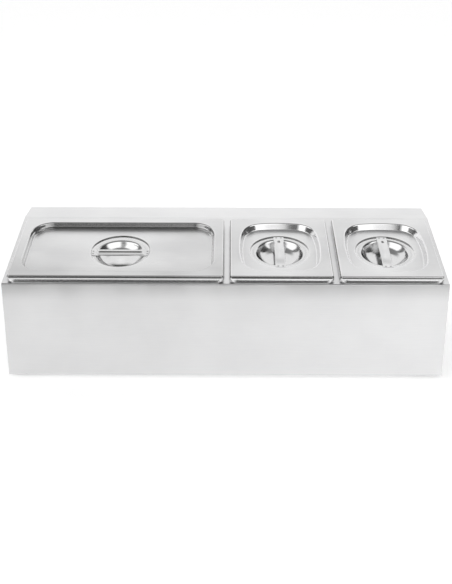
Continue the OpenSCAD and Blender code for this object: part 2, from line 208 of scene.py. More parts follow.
@dataclass(frozen=True)
class RoundRect:
    """A rectangle whose corner centres lie at an inset from its sides, which may bow."""

    width: float
    depth: float
    inset: float
    corner_steps: int = 20
    bow: float = 0.0
    side_steps: int = 12

    def loop(self, out: float) -> list[Point2]:
        """Returns the outline at a distance outward from the corner centres.

        Args:
            out: the corner radius, which is also the distance of the sides.

        Returns:
            Points round the outline, to the left.
        """
        bow = math.radians(self.bow)
        t = math.tan(bow / 2)
        wide, deep = self.width / 2 - self.inset, self.depth / 2 - self.inset
        half = ((wide - deep * t) / (1 - t * t), (deep - wide * t) / (1 - t * t))
        points: list[Point2] = []
        for q, (sx, sy) in enumerate([(1, 1), (-1, 1), (-1, -1), (1, -1)]):
            for k in range(self.corner_steps + 1):
                a = math.pi / 2 * q + bow + (math.pi / 2 - 2 * bow) * k / self.corner_steps
                points.append((sx * half[0] + out * math.cos(a), sy * half[1] + out * math.sin(a)))
            if bow > 0:
                along, across = half[q % 2], half[1 - q % 2]
                points += self._side(math.pi / 2 * (q + 1), along, across, out)
        return points

    def _side(self, facing: float, along: float, across: float, out: float) -> list[Point2]:
        """Returns the points of one bowed side, between its two corners.

        Args:
            facing: the direction that the side faces.
            along: half the distance between the side's corner centres.
            across: distance of those centres from the middle.
            out: the corner radius.

        Returns:
            Points along the side.
        """
        bow = math.radians(self.bow)
        radius = along / math.sin(bow)
        centre = across - radius * math.cos(bow)
        points = []
        for k in range(1, self.side_steps):
            a = facing - bow + 2 * bow * k / self.side_steps
            points.append((
                centre * math.cos(facing) + (radius + out) * math.cos(a),
                centre * math.sin(facing) + (radius + out) * math.sin(a),
            ))
        return points


def circle_loop(radius: float, steps: int) -> list[Point2]:
    """Returns points round a circle about the origin, to the left."""
    turn = 2 * math.pi / steps
    return [(radius * math.cos(k * turn), radius * math.sin(k * turn)) for k in range(steps)]


def quarter_arc(centre: Point2, radius: float, start: float, steps: int) -> list[Point2]:
    """Returns points round a quarter of a circle, to the left.

    Args:
        centre: the circle's centre.
        radius: its radius.
        start: direction of the first point, in degrees.
        steps: number of steps round the quarter.

    Returns:
        One point more than there are steps.
    """
    turns = [math.radians(start + 90.0 * k / steps) for k in range(steps + 1)]
    return [(centre[0] + radius * math.cos(a), centre[1] + radius * math.sin(a)) for a in turns]


def open_edges(patches: Sequence[Sequence[int]]) -> list[tuple[int, ...]]:
    """Finds the edges that only one patch has.

    Args:
        patches: the patches, by point number.

    Returns:
        The two points of each such edge, in the order of the patches.
    """
    used: dict[frozenset[int], int] = {}
    for patch in patches:
        for i, a in enumerate(patch):
            edge = frozenset((a, patch[(i + 1) % len(patch)]))
            used[edge] = used.get(edge, 0) + 1
    return [tuple(edge) for edge, times in used.items() if times == 1]


class SheetMesh:
    """Collects the two faces of a thin sheet, which share one set of patches."""

    def __init__(self) -> None:
        """Starts with no points and no patches."""
        self.top: list[Point3] = []
        self.under: list[Point3] = []
        self.flat: list[Point2] = []
        self.polish: list[float] = []
        self.heat_tint_and_painted_shade: list[float] = []
        self.patches: list[tuple[int, ...]] = []

    def add(
        self, top: Point3, under: Point3, flat: Point2, polish: float = 0.0, heat_tint_and_painted_shade: float = 0.0
    ) -> int:
        """Adds a point of the sheet.

        Args:
            top: the point on the sheet's outer or upper face.
            under: the point through the sheet.
            flat: where it lies when its patch is laid flat.
            polish: how polished the sheet is there, from 0 to 1.
            heat_tint_and_painted_shade: darkness from weld heat tint and painted shade, 0 to 1.

        Returns:
            The point's number.
        """
        self.top.append(top)
        self.under.append(under)
        self.flat.append(flat)
        self.polish.append(polish)
        self.heat_tint_and_painted_shade.append(heat_tint_and_painted_shade)
        return len(self.top) - 1

    def band(self, a: Sequence[int], b: Sequence[int], closed: bool = True) -> None:
        """Joins two rows of points with four-sided patches.

        Args:
            a: numbers of the first row's points.
            b: numbers of the second row's points, as many.
            closed: whether the rows run round.
        """
        n = len(a)
        for i in range(n if closed else n - 1):
            j = (i + 1) % n
            self.patches.append((a[i], a[j], b[j], b[i]))

    def bands(self, rows: Sequence[Sequence[int]], closed: bool = True) -> None:
        """Joins each row of points to the next one."""
        for a, b in zip(rows, rows[1:]):
            self.band(a, b, closed)

    def fill(self, outline: Sequence[int], holes: Sequence[Sequence[int]] = ()) -> None:
        """Fills a flat outline, apart from its holes.

        Args:
            outline: numbers of the points round the outline.
            holes: numbers of the points round each hole.
        """
        rings = [list(outline), *[list(h) for h in holes]]
        order = [p for ring in rings for p in ring]
        laid = [[Vector((*self.flat[p], 0.0)) for p in ring] for ring in rings]
        for tri in tessellate_polygon(laid):
            self.patches.append(tuple(order[k] for k in tri))

    def cap(self, ring: Sequence[int], top: Point3, under: Point3, polish: float) -> None:
        """Closes a ring with a fan round a middle point.

        Args:
            ring: numbers of the ring's points.
            top: the middle on the sheet's outer or upper face.
            under: the middle through the sheet.
            polish: how polished the sheet is there.
        """
        middle = self.add(top, under, (0.0, 0.0), polish)
        n = len(ring)
        for i in range(n):
            self.patches.append((ring[i], ring[(i + 1) % n], middle))

    def build(self, name: str, place: Matrix, steel: bpy.types.Material) -> bpy.types.Object:
        """Turns the collected sheet into a closed object.

        Args:
            name: the object's name.
            place: carries the sheet's millimetres to the frame's metres.
            steel: the sheet's material.

        Returns:
            The new object, smooth but for its cut edges.
        """
        n = len(self.top)
        faces = list(self.patches)
        faces += [tuple(n + p for p in reversed(patch)) for patch in self.patches]
        faces += [(a, b, n + b, n + a) for a, b in open_edges(self.patches)]
        points = [place @ Vector(p) for p in self.top + self.under]
        return finished_object(name, points, faces, steel, self.polish * 2, self.heat_tint_and_painted_shade * 2)


def finished_object(
    name: str,
    points: Sequence[Vector],
    faces: Sequence[Sequence[int]],
    material: bpy.types.Material,
    polish: Optional[Sequence[float]] = None,
    heat_tint_and_painted_shade: Optional[Sequence[float]] = None,
    sharp_angle: float = 32.0,
) -> bpy.types.Object:
    """Makes an object from points and faces, with a plan layout for its grain.

    Args:
        name: the object's name.
        points: its points in metres.
        faces: its faces, by point number.
        material: its material.
        polish: how polished it is at each point.
        heat_tint_and_painted_shade: darkness at each point from weld heat tint and painted shade.
        sharp_angle: angle in degrees above which an edge stays sharp.

    Returns:
        The object, linked to the scene.
    """
    mesh = bpy.data.meshes.new(name)
    mesh.from_pydata([tuple(p) for p in points], [], [list(f) for f in faces])
    bm = bmesh.new()
    bm.from_mesh(mesh)
    bmesh.ops.recalc_face_normals(bm, faces=bm.faces)
    bm.to_mesh(mesh)
    bm.free()
    for label, given in (("polish", polish), ("heat_tint_and_painted_shade", heat_tint_and_painted_shade)):
        layer = mesh.attributes.new(label, "FLOAT", "POINT")
        layer.data.foreach_set("value", list(given) if given is not None else [0.0] * len(points))
    plan = mesh.uv_layers.new(name="plan")
    for loop in mesh.loops:
        co = mesh.vertices[loop.vertex_index].co
        plan.data[loop.index].uv = (co.x, co.y + PLAN_LIFT * co.z)
    mesh.shade_smooth()
    mesh.set_sharp_from_angle(angle=math.radians(sharp_angle))
    mesh.materials.append(material)
    made = bpy.data.objects.new(name, mesh)
    bpy.context.scene.collection.objects.link(made)
    return made


def lathe(
    name: str,
    section: Sequence[Point2],
    place: Matrix,
    material: bpy.types.Material,
    steps: int = 48,
) -> bpy.types.Object:
    """Turns a closed section about the Z axis.

    Args:
        name: the object's name.
        section: radius and height round the section, in millimetres.
        place: carries the turned piece to the frame.
        material: its material.
        steps: number of steps round the axis.

    Returns:
        The turned object.
    """
    points: list[Vector] = []
    faces: list[tuple[int, ...]] = []
    m = len(section)
    for k in range(steps):
        a = 2 * math.pi * k / steps
        for r, z in section:
            points.append(place @ Vector((r * math.cos(a), r * math.sin(a), z)))
    for k in range(steps):
        for i in range(m):
            a = k * m + i
            b = k * m + (i + 1) % m
            c = ((k + 1) % steps) * m
            faces.append((a, b, c + (i + 1) % m, c + i))
    return finished_object(name, points, faces, material)


class NodeBench:
    """Lays out the nodes of one material or world."""

    def __init__(self, tree: bpy.types.NodeTree) -> None:
        """Takes over a node tree and empties it."""
        self.tree = tree
        tree.nodes.clear()

    def node(self, kind: str, **settings: object) -> bpy.types.Node:
        """Adds a node and sets its properties.

        Args:
            kind: the node's type.
            **settings: properties by name.

        Returns:
            The node.
        """
        made = self.tree.nodes.new(kind)
        for key, value in settings.items():
            setattr(made, key, value)
        return made

    def link(self, source: bpy.types.NodeSocket, target: bpy.types.NodeSocket) -> None:
        """Joins two sockets."""
        self.tree.links.new(source, target)

    def _feed(self, socket: bpy.types.NodeSocket, value: object) -> None:
        """Links a socket as an input, or sets a number on it.

        Args:
            socket: the input.
            value: a socket, a number or a colour.
        """
        if isinstance(value, bpy.types.NodeSocket):
            self.link(value, socket)
        else:
            socket.default_value = value

    def place(self) -> bpy.types.NodeSocket:
        """Returns the place on the object."""
        return self.node("ShaderNodeTexCoord").outputs["Object"]

    def layer(self, name: str) -> bpy.types.NodeSocket:
        """Returns the value of one of the mesh's own layers."""
        return self.node("ShaderNodeAttribute", attribute_name=name).outputs["Fac"]

    def math(self, operation: str, *values: object) -> bpy.types.NodeSocket:
        """Adds a math node.

        Args:
            operation: what it works out.
            *values: its inputs, as sockets or numbers.

        Returns:
            The result's socket.
        """
        made = self.node("ShaderNodeMath", operation=operation)
        for socket, value in zip(made.inputs, values):
            self._feed(socket, value)
        return made.outputs[0]

    def along(self, way: bpy.types.NodeSocket, axis: Vector) -> bpy.types.NodeSocket:
        """Finds how far a place or a direction goes along an axis.

        Args:
            way: the place's or the direction's socket.
            axis: the axis, whose length scales the result.

        Returns:
            The distance's socket.
        """
        made = self.node("ShaderNodeVectorMath", operation="DOT_PRODUCT")
        self.link(way, made.inputs[0])
        made.inputs[1].default_value = tuple(axis)
        return made.outputs["Value"]

    def ramp(
        self, value: object, low: float, high: float, to_low: float = 0.0, to_high: float = 1.0
    ) -> bpy.types.NodeSocket:
        """Maps a value smoothly from one range to another.

        Args:
            value: a socket or a number.
            low: where the range starts.
            high: where the range ends.
            to_low: result at the start and before it.
            to_high: result at the end and after it.

        Returns:
            The mapped value's socket.
        """
        made = self.node("ShaderNodeMapRange", interpolation_type="SMOOTHSTEP")
        for socket, number in zip(made.inputs, (value, low, high, to_low, to_high)):
            self._feed(socket, number)
        return made.outputs[0]

    def spread(
        self, noise: bpy.types.NodeSocket, to_low: float = 0.0, to_high: float = 1.0
    ) -> bpy.types.NodeSocket:
        """Maps the range that a noise mostly keeps to, to another one."""
        return self.ramp(noise, *NOISE_RANGE, to_low, to_high)

    def noise(
        self,
        coordinates: bpy.types.NodeSocket,
        grain: Grain,
        scale: float,
        detail: float = 3.0,
        roughness: float = 0.5,
    ) -> bpy.types.NodeSocket:
        """Adds noise over stretched coordinates and returns its value.

        Args:
            coordinates: where the noise is read.
            grain: which way the noise is drawn out.
            scale: the noise's scale.
            detail: its number of octaves.
            roughness: how strong the fine octaves are.

        Returns:
            The noise's value, from 0 to 1.
        """
        mapping = self.node("ShaderNodeMapping")
        mapping.inputs["Scale"].default_value = grain.value
        self.link(coordinates, mapping.inputs["Vector"])
        made = self.node("ShaderNodeTexNoise")
        made.inputs["Scale"].default_value = scale
        made.inputs["Detail"].default_value = detail
        made.inputs["Roughness"].default_value = roughness
        self.link(mapping.outputs[0], made.inputs["Vector"])
        return made.outputs[0]

    def blend(self, factor: object, a: object, b: object) -> bpy.types.NodeSocket:
        """Mixes two colours and returns the result.

        Args:
            factor: how much of the second colour there is, a socket or a number.
            a: the first colour, a socket or three numbers.
            b: the second colour, likewise.

        Returns:
            The mixed colour's socket.
        """
        made = self.node("ShaderNodeMix", data_type="RGBA")
        self._feed(made.inputs[0], factor)
        for socket, colour in ((made.inputs[6], a), (made.inputs[7], b)):
            self._feed(socket, colour if isinstance(colour, bpy.types.NodeSocket) else (*colour, 1.0))
        return made.outputs[2]

    def bump(
        self,
        height: bpy.types.NodeSocket,
        depth: float,
        strength: object = 1.0,
        over: Optional[bpy.types.NodeSocket] = None,
    ) -> bpy.types.NodeSocket:
        """Adds a bump and returns its normal.

        Args:
            height: the relief, from 0 to 1.
            depth: the relief's depth in millimetres.
            strength: how much of it shows, a socket or a number.
            over: the normal that the bump is laid over.

        Returns:
            The new normal's socket.
        """
        made = self.node("ShaderNodeBump")
        made.inputs["Distance"].default_value = depth * MM
        self._feed(made.inputs["Strength"], strength)
        self.link(height, made.inputs["Height"])
        if over is not None:
            self.link(over, made.inputs["Normal"])
        return made.outputs[0]


def new_finish(name: str, metallic: float) -> tuple[bpy.types.Material, NodeBench, bpy.types.Node]:
    """Starts a finish with one shader.

    Args:
        name: the finish's name.
        metallic: 1 for a metal, 0 for anything else.

    Returns:
        The finish, the bench with its nodes, and its shader, joined to the output.
    """
    made = bpy.data.materials.new(name)
    made.use_nodes = True
    bench = NodeBench(made.node_tree)
    shader = bench.node("ShaderNodeBsdfPrincipled")
    shader.inputs["Metallic"].default_value = metallic
    bench.link(shader.outputs[0], bench.node("ShaderNodeOutputMaterial").inputs[0])
    return made, bench, shader


@dataclass(frozen=True)
class PaintedShade:
    """A soft painted shade on a finish between two places, broken up by noise."""

    start: Point3
    end: Point3
    depth: float
    front_only: bool = False
    patchy: float = 0.3
    patch_scale: float = 14.0
    front_ends: Point2 = (-0.1282, -0.1262)

    def laid(self, bench: NodeBench, where: bpy.types.NodeSocket) -> bpy.types.NodeSocket:
        """Adds the painted shade's nodes.

        Args:
            bench: the finish's nodes.
            where: the place on the object.

        Returns:
            How dark the painted shade makes the finish, from 0 to its depth.
        """
        a, b = Vector(self.start), Vector(self.end)
        way = (b - a) / (b - a).length_squared
        share = bench.ramp(bench.along(where, way), a.dot(way), b.dot(way), 0.0, self.depth)
        broken = bench.noise(where, Grain.CLOUDY, self.patch_scale, detail=2.0)
        patches = bench.spread(broken, 1.0 - self.patchy, 1.0 + self.patchy)
        share = bench.math("MULTIPLY", share, patches)
        if self.front_only:
            back = bench.along(where, Vector((0.0, 1.0, 0.0)))
            share = bench.math("MULTIPLY", share, bench.ramp(back, *self.front_ends, 1.0, 0.0))
        return share


@dataclass(frozen=True)
class SheetSteel:
    """A rolled or drawn stainless finish: satin flats, and a polish where it was drawn."""

    name: str
    tint: Colour = (0.80, 0.80, 0.80)
    shade: Colour = (0.76, 0.76, 0.765)
    satin: float = 0.34
    mirror: float = 0.15
    anisotropy: float = 0.45
    grain_scale: float = 1400.0
    grain_depth: float = 0.02
    grain_strength: float = 0.6
    grain_roughness: float = 0.03
    cloud_scale: float = 18.0
    cloud_roughness: float = 0.02
    wave_scale: float = 9.0
    wave_depth: float = 0.25
    # Dark colour that weld heat tint and painted shade mix toward
    heat_tint_and_painted_shade: Colour = (0.06, 0.058, 0.055)
    dark_mottle_scale: float = 500.0
    dark_mottle_least: float = 0.85
    # Painted shade laid over the colour
    tones: tuple[PaintedShade, ...] = ()

    def material(self) -> bpy.types.Material:
        """Builds the finish.

        Returns:
            A metal whose roughness, colour and bump come from noise, painted shade and the mesh's
            layers.
        """
        made, bench, metal = new_finish(self.name, 1.0)
        metal.inputs["Anisotropic"].default_value = self.anisotropy
        where = bench.place()
        polish = bench.layer("polish")
        streaks = bench.noise(where, Grain.ALONG_X, self.grain_scale, detail=4.0, roughness=0.6)
        clouds = bench.noise(where, Grain.CLOUDY, self.cloud_scale)
        waves = bench.noise(where, Grain.LONG_WAVES, self.wave_scale, detail=1.0, roughness=0.3)
        rough = self.satin
        for noise, reach in ((streaks, self.grain_roughness), (clouds, self.cloud_roughness)):
            rough = bench.math("ADD", bench.spread(noise, -reach, reach), rough)
        keep = bench.math("SUBTRACT", 1.0, polish)
        rough = bench.math("MULTIPLY", rough, keep)
        shine = bench.math("MULTIPLY", polish, self.mirror)
        bench.link(bench.math("ADD", rough, shine), metal.inputs["Roughness"])
        halves = [bench.math("MULTIPLY", noise, 0.5) for noise in (streaks, clouds)]
        colour = bench.blend(bench.spread(bench.math("ADD", *halves)), self.tint, self.shade)
        mottle = bench.noise(where, Grain.CLOUDY, self.dark_mottle_scale, roughness=0.6)
        # The mesh's darkening layer holds weld heat tint and painted shade, and the tones add more
        # painted shade
        dark = bench.math("MULTIPLY", bench.layer("heat_tint_and_painted_shade"), bench.spread(mottle, self.dark_mottle_least))
        for soft in self.tones:
            dark = bench.math("ADD", dark, soft.laid(bench, where))
        bench.link(bench.blend(dark, colour, self.heat_tint_and_painted_shade), metal.inputs["Base Color"])
        wavy = bench.bump(waves, self.wave_depth)
        strength = bench.math("MULTIPLY", keep, self.grain_strength)
        bench.link(bench.bump(streaks, self.grain_depth, strength, wavy), metal.inputs["Normal"])
        return made


@dataclass(frozen=True)
class ZincPlate:
    """A bright zinc plating for small fasteners."""

    name: str = "zinc_plate"
    tint: Colour = (0.62, 0.63, 0.66)
    shade: Colour = (0.50, 0.51, 0.52)
    satin: tuple[float, float] = (0.24, 0.42)
    mottle_scale: float = 700.0
    relief: float = 0.02

    def material(self) -> bpy.types.Material:
        """Builds the plating.

        Returns:
            A metal with a mottled tone, roughness and bump.
        """
        made, bench, metal = new_finish(self.name, 1.0)
        mottle = bench.noise(bench.place(), Grain.CLOUDY, self.mottle_scale, roughness=0.6)
        colour = bench.blend(bench.ramp(mottle, 0.35, 0.65), self.tint, self.shade)
        bench.link(colour, metal.inputs["Base Color"])
        bench.link(bench.spread(mottle, *self.satin), metal.inputs["Roughness"])
        bench.link(bench.bump(mottle, self.relief, 0.5), metal.inputs["Normal"])
        return made


@dataclass(frozen=True)
class FootRubber:
    """Moulded rubber with a fine grain and a dusty bloom."""

    name: str = "foot_rubber"
    tint: Colour = (0.025, 0.025, 0.026)
    bloom: Colour = (0.055, 0.055, 0.056)
    dull: tuple[float, float] = (0.62, 0.8)
    grain_scale: float = 1600.0
    dust_scale: float = 120.0
    relief: float = 0.05

    def material(self) -> bpy.types.Material:
        """Builds the rubber.

        Returns:
            A dull finish with its grain as bump.
        """
        made, bench, rubber = new_finish(self.name, 0.0)
        where = bench.place()
        fine = bench.noise(where, Grain.CLOUDY, self.grain_scale, roughness=0.6)
        dust = bench.noise(where, Grain.CLOUDY, self.dust_scale)
        colour = bench.blend(bench.ramp(dust, 0.4, 0.7), self.tint, self.bloom)
        bench.link(colour, rubber.inputs["Base Color"])
        bench.link(bench.spread(fine, *self.dull), rubber.inputs["Roughness"])
        bench.link(bench.bump(fine, self.relief), rubber.inputs["Normal"])
        return made


@dataclass(frozen=True)
class Deck:
    """Where the deck lies, and where the three pans hang in it."""

    width: float = 669.0
    depth: float = 257.564
    foot_height: float = 5.0
    foot_inset: float = 24.0
    front_height: float = 151.0
    tilt: float = 12.0
    length: float = 203.0
    ledge: float = 59.0
    front_land: float = 5.5
    lid_depth: float = 176.0
    side_margin: float = 7.0
    lid_gap: float = 9.0

    def place(self) -> Matrix:
        """Works out where the deck's own axes lie.

        Returns:
            The map from the deck's millimetres to the frame's metres.
        """
        edge = Vector((0.0, -self.depth / 2, self.foot_height + self.front_height)) * MM
        tilt = Matrix.Rotation(math.radians(self.tilt), 4, "X")
        return Matrix.Translation(edge) @ tilt @ Matrix.Scale(MM, 4)

    def lid_x(self, number: int) -> float:
        """Returns the X of a lid's middle.

        Args:
            number: the lid's number from the left, from 0.

        Returns:
            X in millimetres.
        """
        left = -self.width / 2 + self.side_margin
        if number == 0:
            return left + PanSize.WIDE.value / 2
        start = left + PanSize.WIDE.value + self.lid_gap
        return start + PanSize.SMALL.value / 2 + (number - 1) * (PanSize.SMALL.value + self.lid_gap)

    def lid_place(self, number: int) -> Matrix:
        """Returns the map from a lid's own millimetres to the frame's metres."""
        middle = (self.lid_x(number), self.front_land + self.lid_depth / 2, 0.0)
        return self.place() @ Matrix.Translation(middle)


@dataclass
class Stand:
    """The folded sheet with its front, deck, ledge, back and returns."""

    deck: Deck
    steel: bpy.types.Material
    thickness: float = 1.0
    fold_radius: float = 1.6
    return_width: float = 36.0
    cutout_shrink: float = 10.4
    cutout_radius: float = 18.0
    hole_radius: float = 2.25

    def path(self) -> SheetPath:
        """Returns the section of the wrapped sheet.

        Returns:
            The section from the front return to the rear one.
        """
        d = self.deck
        square = self.fold_radius + self.thickness
        front_fold = 90 - d.tilt
        at_front = square * math.tan(math.radians(front_fold / 2))
        at_ledge = square * math.tan(math.radians(d.tilt / 2))
        back_height = d.front_height + d.length * math.sin(math.radians(d.tilt))
        flats = (
            self.return_width - square,
            d.front_height - square - at_front,
            d.length - at_front - at_ledge,
            d.ledge - at_ledge - square,
            back_height - 2 * square,
            self.return_width - square,
        )
        angles = (-90.0, -front_fold, -d.tilt, -90.0, -90.0)
        folds = tuple(Fold(a, self.fold_radius) for a in angles)
        return SheetPath(self.thickness, flats, folds, support=0.5, fold_step=7.0)

    def build(self) -> bpy.types.Object:
        """Builds the wrapped sheet with its pan cut-outs and foot holes.

        Returns:
            The sheet, riding on the stand in place of its solid.
        """
        d = self.deck
        sheet = SheetMesh()
        start = (self.return_width, d.foot_height)
        stations = [s.moved(*start, turned=True) for s in self.path().stations()]
        rows: list[list[int]] = []
        half = d.width / 2
        y0 = -d.depth / 2
        for s in stations:
            row = []
            for x in (-half, half):
                top = (x, y0 + s.face[0], s.face[1])
                under = (x, y0 + s.back[0], s.back[1])
                row.append(sheet.add(top, under, (x, s.run)))
            rows.append(row)
        holed = self._holes()
        for i in range(len(stations) - 1):
            a, b = stations[i], stations[i + 1]
            holes = [h for h in holed if h.fits(a, b)]
            if not holes:
                sheet.band(rows[i], rows[i + 1], closed=False)
                continue
            rings = [h.cut(sheet, a, b, y0) for h in holes]
            sheet.fill([rows[i][0], rows[i][1], rows[i + 1][1], rows[i + 1][0]], rings)
        made = sheet.build("folded_front_and_deck", Matrix.Scale(MM, 4), self.steel)
        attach(made, "stand")
        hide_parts("front_and_deck_panel")
        return made

    def _holes(self) -> list["SheetHole"]:
        """Returns the holes of the sheet.

        Returns:
            The three cut-outs, and the four holes for the foot screws.
        """
        d = self.deck
        shrink = 2 * self.cutout_shrink
        tilt = math.radians(d.tilt)
        holes = []
        for number, size in enumerate((PanSize.WIDE, PanSize.SMALL, PanSize.SMALL)):
            w, h = size.value - shrink, d.lid_depth - shrink
            outline = RoundRect(w, h, self.cutout_radius, corner_steps=14)
            along = d.front_land + d.lid_depth / 2
            middle = (along * math.cos(tilt), d.foot_height + d.front_height + along * math.sin(tilt))
            holes.append(SheetHole(d.lid_x(number), middle, outline.loop(self.cutout_radius)))
        for sx in (-1, 1):
            for y in (d.foot_inset, d.depth - d.foot_inset):
                x = sx * (d.width / 2 - d.foot_inset)
                holes.append(SheetHole(x, (y, d.foot_height), circle_loop(self.hole_radius, 24)))
        return holes


@dataclass(frozen=True)
class SheetHole:
    """A hole in one flat of a wrapped sheet: its middle in side view, and its outline."""

    x: float
    middle: Point2
    outline: list[Point2]
    slack: float = 0.1
    margin: float = 1.0

    def _measured(self, a: Station, b: Station) -> tuple[Point2, float, float, float]:
        """Measures the hole's middle against the flat between two stations.

        Args:
            a: station where the flat starts.
            b: station where the flat ends.

        Returns:
            The flat's direction and length, and how far the middle lies along it and off it.
        """
        dx, dz = b.face[0] - a.face[0], b.face[1] - a.face[1]
        length = math.hypot(dx, dz)
        ux, uz = dx / length, dz / length
        px, pz = self.middle[0] - a.face[0], self.middle[1] - a.face[1]
        return (ux, uz), length, px * ux + pz * uz, abs(px * uz - pz * ux)

    def fits(self, a: Station, b: Station) -> bool:
        """Tells whether the hole lies on the flat between two stations.

        Args:
            a: station where the flat starts.
            b: station where the flat ends.

        Returns:
            True if its middle does.
        """
        if a.bent or b.bent:
            return False
        _, length, along, off = self._measured(a, b)
        return off < self.slack and self.margin < along < length - self.margin

    def cut(self, sheet: SheetMesh, a: Station, b: Station, y0: float) -> list[int]:
        """Adds the hole's points to a sheet.

        Args:
            sheet: the sheet that is being collected.
            a: station where the flat starts.
            b: station where the flat ends.
            y0: Y of the section's zero.

        Returns:
            The numbers of the points round the hole.
        """
        (ux, uz), _, start, _ = self._measured(a, b)
        ring = []
        for px, py in self.outline:
            x, along = self.x + px, start + py
            top = (x, y0 + a.face[0] + ux * along, a.face[1] + uz * along)
            under = (x, y0 + a.back[0] + ux * along, a.back[1] + uz * along)
            ring.append(sheet.add(top, under, (x, a.run + along)))
        return ring


@dataclass
class Feet:
    """Four rubber feet with counterbores for their screws."""

    deck: Deck
    rubber: bpy.types.Material
    radius: float = 10.0
    taper: float = 1.0
    bore: float = 2.25
    head_room: float = 4.3
    head_depth: float = 2.6
    edge: float = 0.6

    def section(self) -> list[Point2]:
        """Lays out the section of a foot.

        Returns:
            Radius and height round the section, with its outer edges rounded.
        """
        h, e = self.deck.foot_height, self.edge
        low = quarter_arc((self.radius - self.taper - e, e), e, -90.0, 6)
        high = quarter_arc((self.radius - e / 2, h - e / 2), e / 2, 0.0, 4)
        bore = [(self.bore, h), (self.bore, self.head_depth)]
        room = [(self.head_room, self.head_depth), (self.head_room, 0.0)]
        return low + high + bore + room

    def build(self) -> list[bpy.types.Object]:
        """Builds the four feet.

        Returns:
            The feet, each riding on the stand in place of its own solid.
        """
        made = []
        d = self.deck
        for side, sx in (("left", -1), ("right", 1)):
            for end, sy in (("front", -1), ("rear", 1)):
                x = sx * (d.width / 2 - d.foot_inset) * MM
                y = sy * (d.depth / 2 - d.foot_inset) * MM
                place = Matrix.Translation((x, y, 0.0)) @ Matrix.Scale(MM, 4)
                foot = lathe(f"rubber_foot_{end}_{side}", self.section(), place, self.rubber)
                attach(foot, "stand")
                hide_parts(f"foot_{end}_{side}")
                made.append(foot)
        return made


@dataclass
class Pan:
    """One food pan, with its turned-down edge, flange, walls and bottom."""

    deck: Deck
    number: int
    name: str
    size: PanSize
    steel: bpy.types.Material
    thickness: float = 0.8
    lap: float = 1.0
    depth: float = 148.0
    top: float = 4.6
    edge_height: float = 4.5
    edge_out: float = 1.3
    edge_corner: float = 14.0
    edge_fold: float = 0.5
    edge_flare: float = 20.0
    edge_polish: float = 0.9
    flange: float = 12.0
    upper_wall: float = 16.0
    step_length: float = 0.8
    step_angle: float = 45.0
    draft: float = 3.0
    wall_polish: float = 0.35
    mouth_fold: float = 2.2
    step_fold: float = 1.0
    foot_fold: float = 14.0
    corner_centre: float = 50.0

    def wall_path(self) -> SheetPath:
        """Returns the section of the pan's wall.

        Returns:
            The section from its flange to its bottom.
        """
        folds = (
            Fold(90 - self.draft, self.mouth_fold),
            Fold(-self.step_angle, self.step_fold),
            Fold(self.step_angle, self.step_fold),
            Fold(self.draft - 90, self.foot_fold),
        )
        flats = (self.lap, self.upper_wall, self.step_length, 0.0, self.lap)
        return SheetPath(self.thickness, flats, folds).stretched(3, self.depth)

    def build(self) -> bpy.types.Object:
        """Builds the pan in its place in the deck.

        Returns:
            The pan, riding on its own body in place of its solid.
        """
        sheet = SheetMesh()
        w, d, t = self.size.value, self.deck.lid_depth, self.thickness
        out = 2 * self.edge_out
        edge = RoundRect(w + out, d + out, self.edge_corner, corner_steps=12)
        fold = Fold(self.edge_flare - 90.0, self.edge_fold)
        rim = SheetPath(t, (self.lap, 0.0), (fold,), support=0.2).stretched(1, -self.edge_height)
        start = self.edge_corner - rim.end()[0]
        rings = [
            ring_of(sheet, edge, s.moved(start, self.top), self.edge_polish, flip=False)
            for s in rim.stations()
        ]
        sheet.bands(rings)
        walls = RoundRect(w, d, self.corner_centre, corner_steps=18)
        start = self.corner_centre + self.edge_out - self.flange + self.lap
        inner = [
            ring_of(sheet, walls, s.moved(start, self.top - t, turned=True), self.wall_polish, flip=True)
            for s in self.wall_path().stations()
        ]
        sheet.bands(inner)
        sheet.fill(rings[0], [inner[0]])
        sheet.fill(inner[-1])
        made = sheet.build(f"{self.name}_drawn", self.deck.lid_place(self.number), self.steel)
        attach(made, self.name)
        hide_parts(self.name)
        return made


def ring_of(
    sheet: SheetMesh,
    outline: RoundRect,
    at: Station,
    polish: float,
    flip: bool,
    heat_tint_and_painted_shade: float = 0.0,
    side_share: float = 1.0,
) -> list[int]:
    """Adds one ring of a drawn sheet's points.

    Args:
        sheet: the sheet that is being collected.
        outline: the rectangle that the ring follows.
        at: the ring's place in section, outward and up.
        polish: how polished the sheet is there.
        flip: whether the section's path runs along the underside.
        heat_tint_and_painted_shade: painted shade, how dark the sheet is at the rear.
        side_share: the share of that painted shade that the front and the sides have.

    Returns:
        The numbers of the points round the ring.
    """
    faces = outline.loop(at.face[0])
    backs = outline.loop(at.back[0])
    reach = max(y for _, y in faces)
    ring = []
    for f, b in zip(faces, backs):
        face = (*f, at.face[1])
        back = (*b, at.back[1])
        top, under = (back, face) if flip else (face, back)
        # Painted shade, full at the rear and a share of it at the front and sides
        rear = clamped((f[1] / reach - REAR_FROM) / (1.0 - REAR_FROM))
        dark = heat_tint_and_painted_shade * (side_share + (1.0 - side_share) * rear)
        ring.append(sheet.add(top, under, (top[0], top[1]), polish, dark))
    return ring


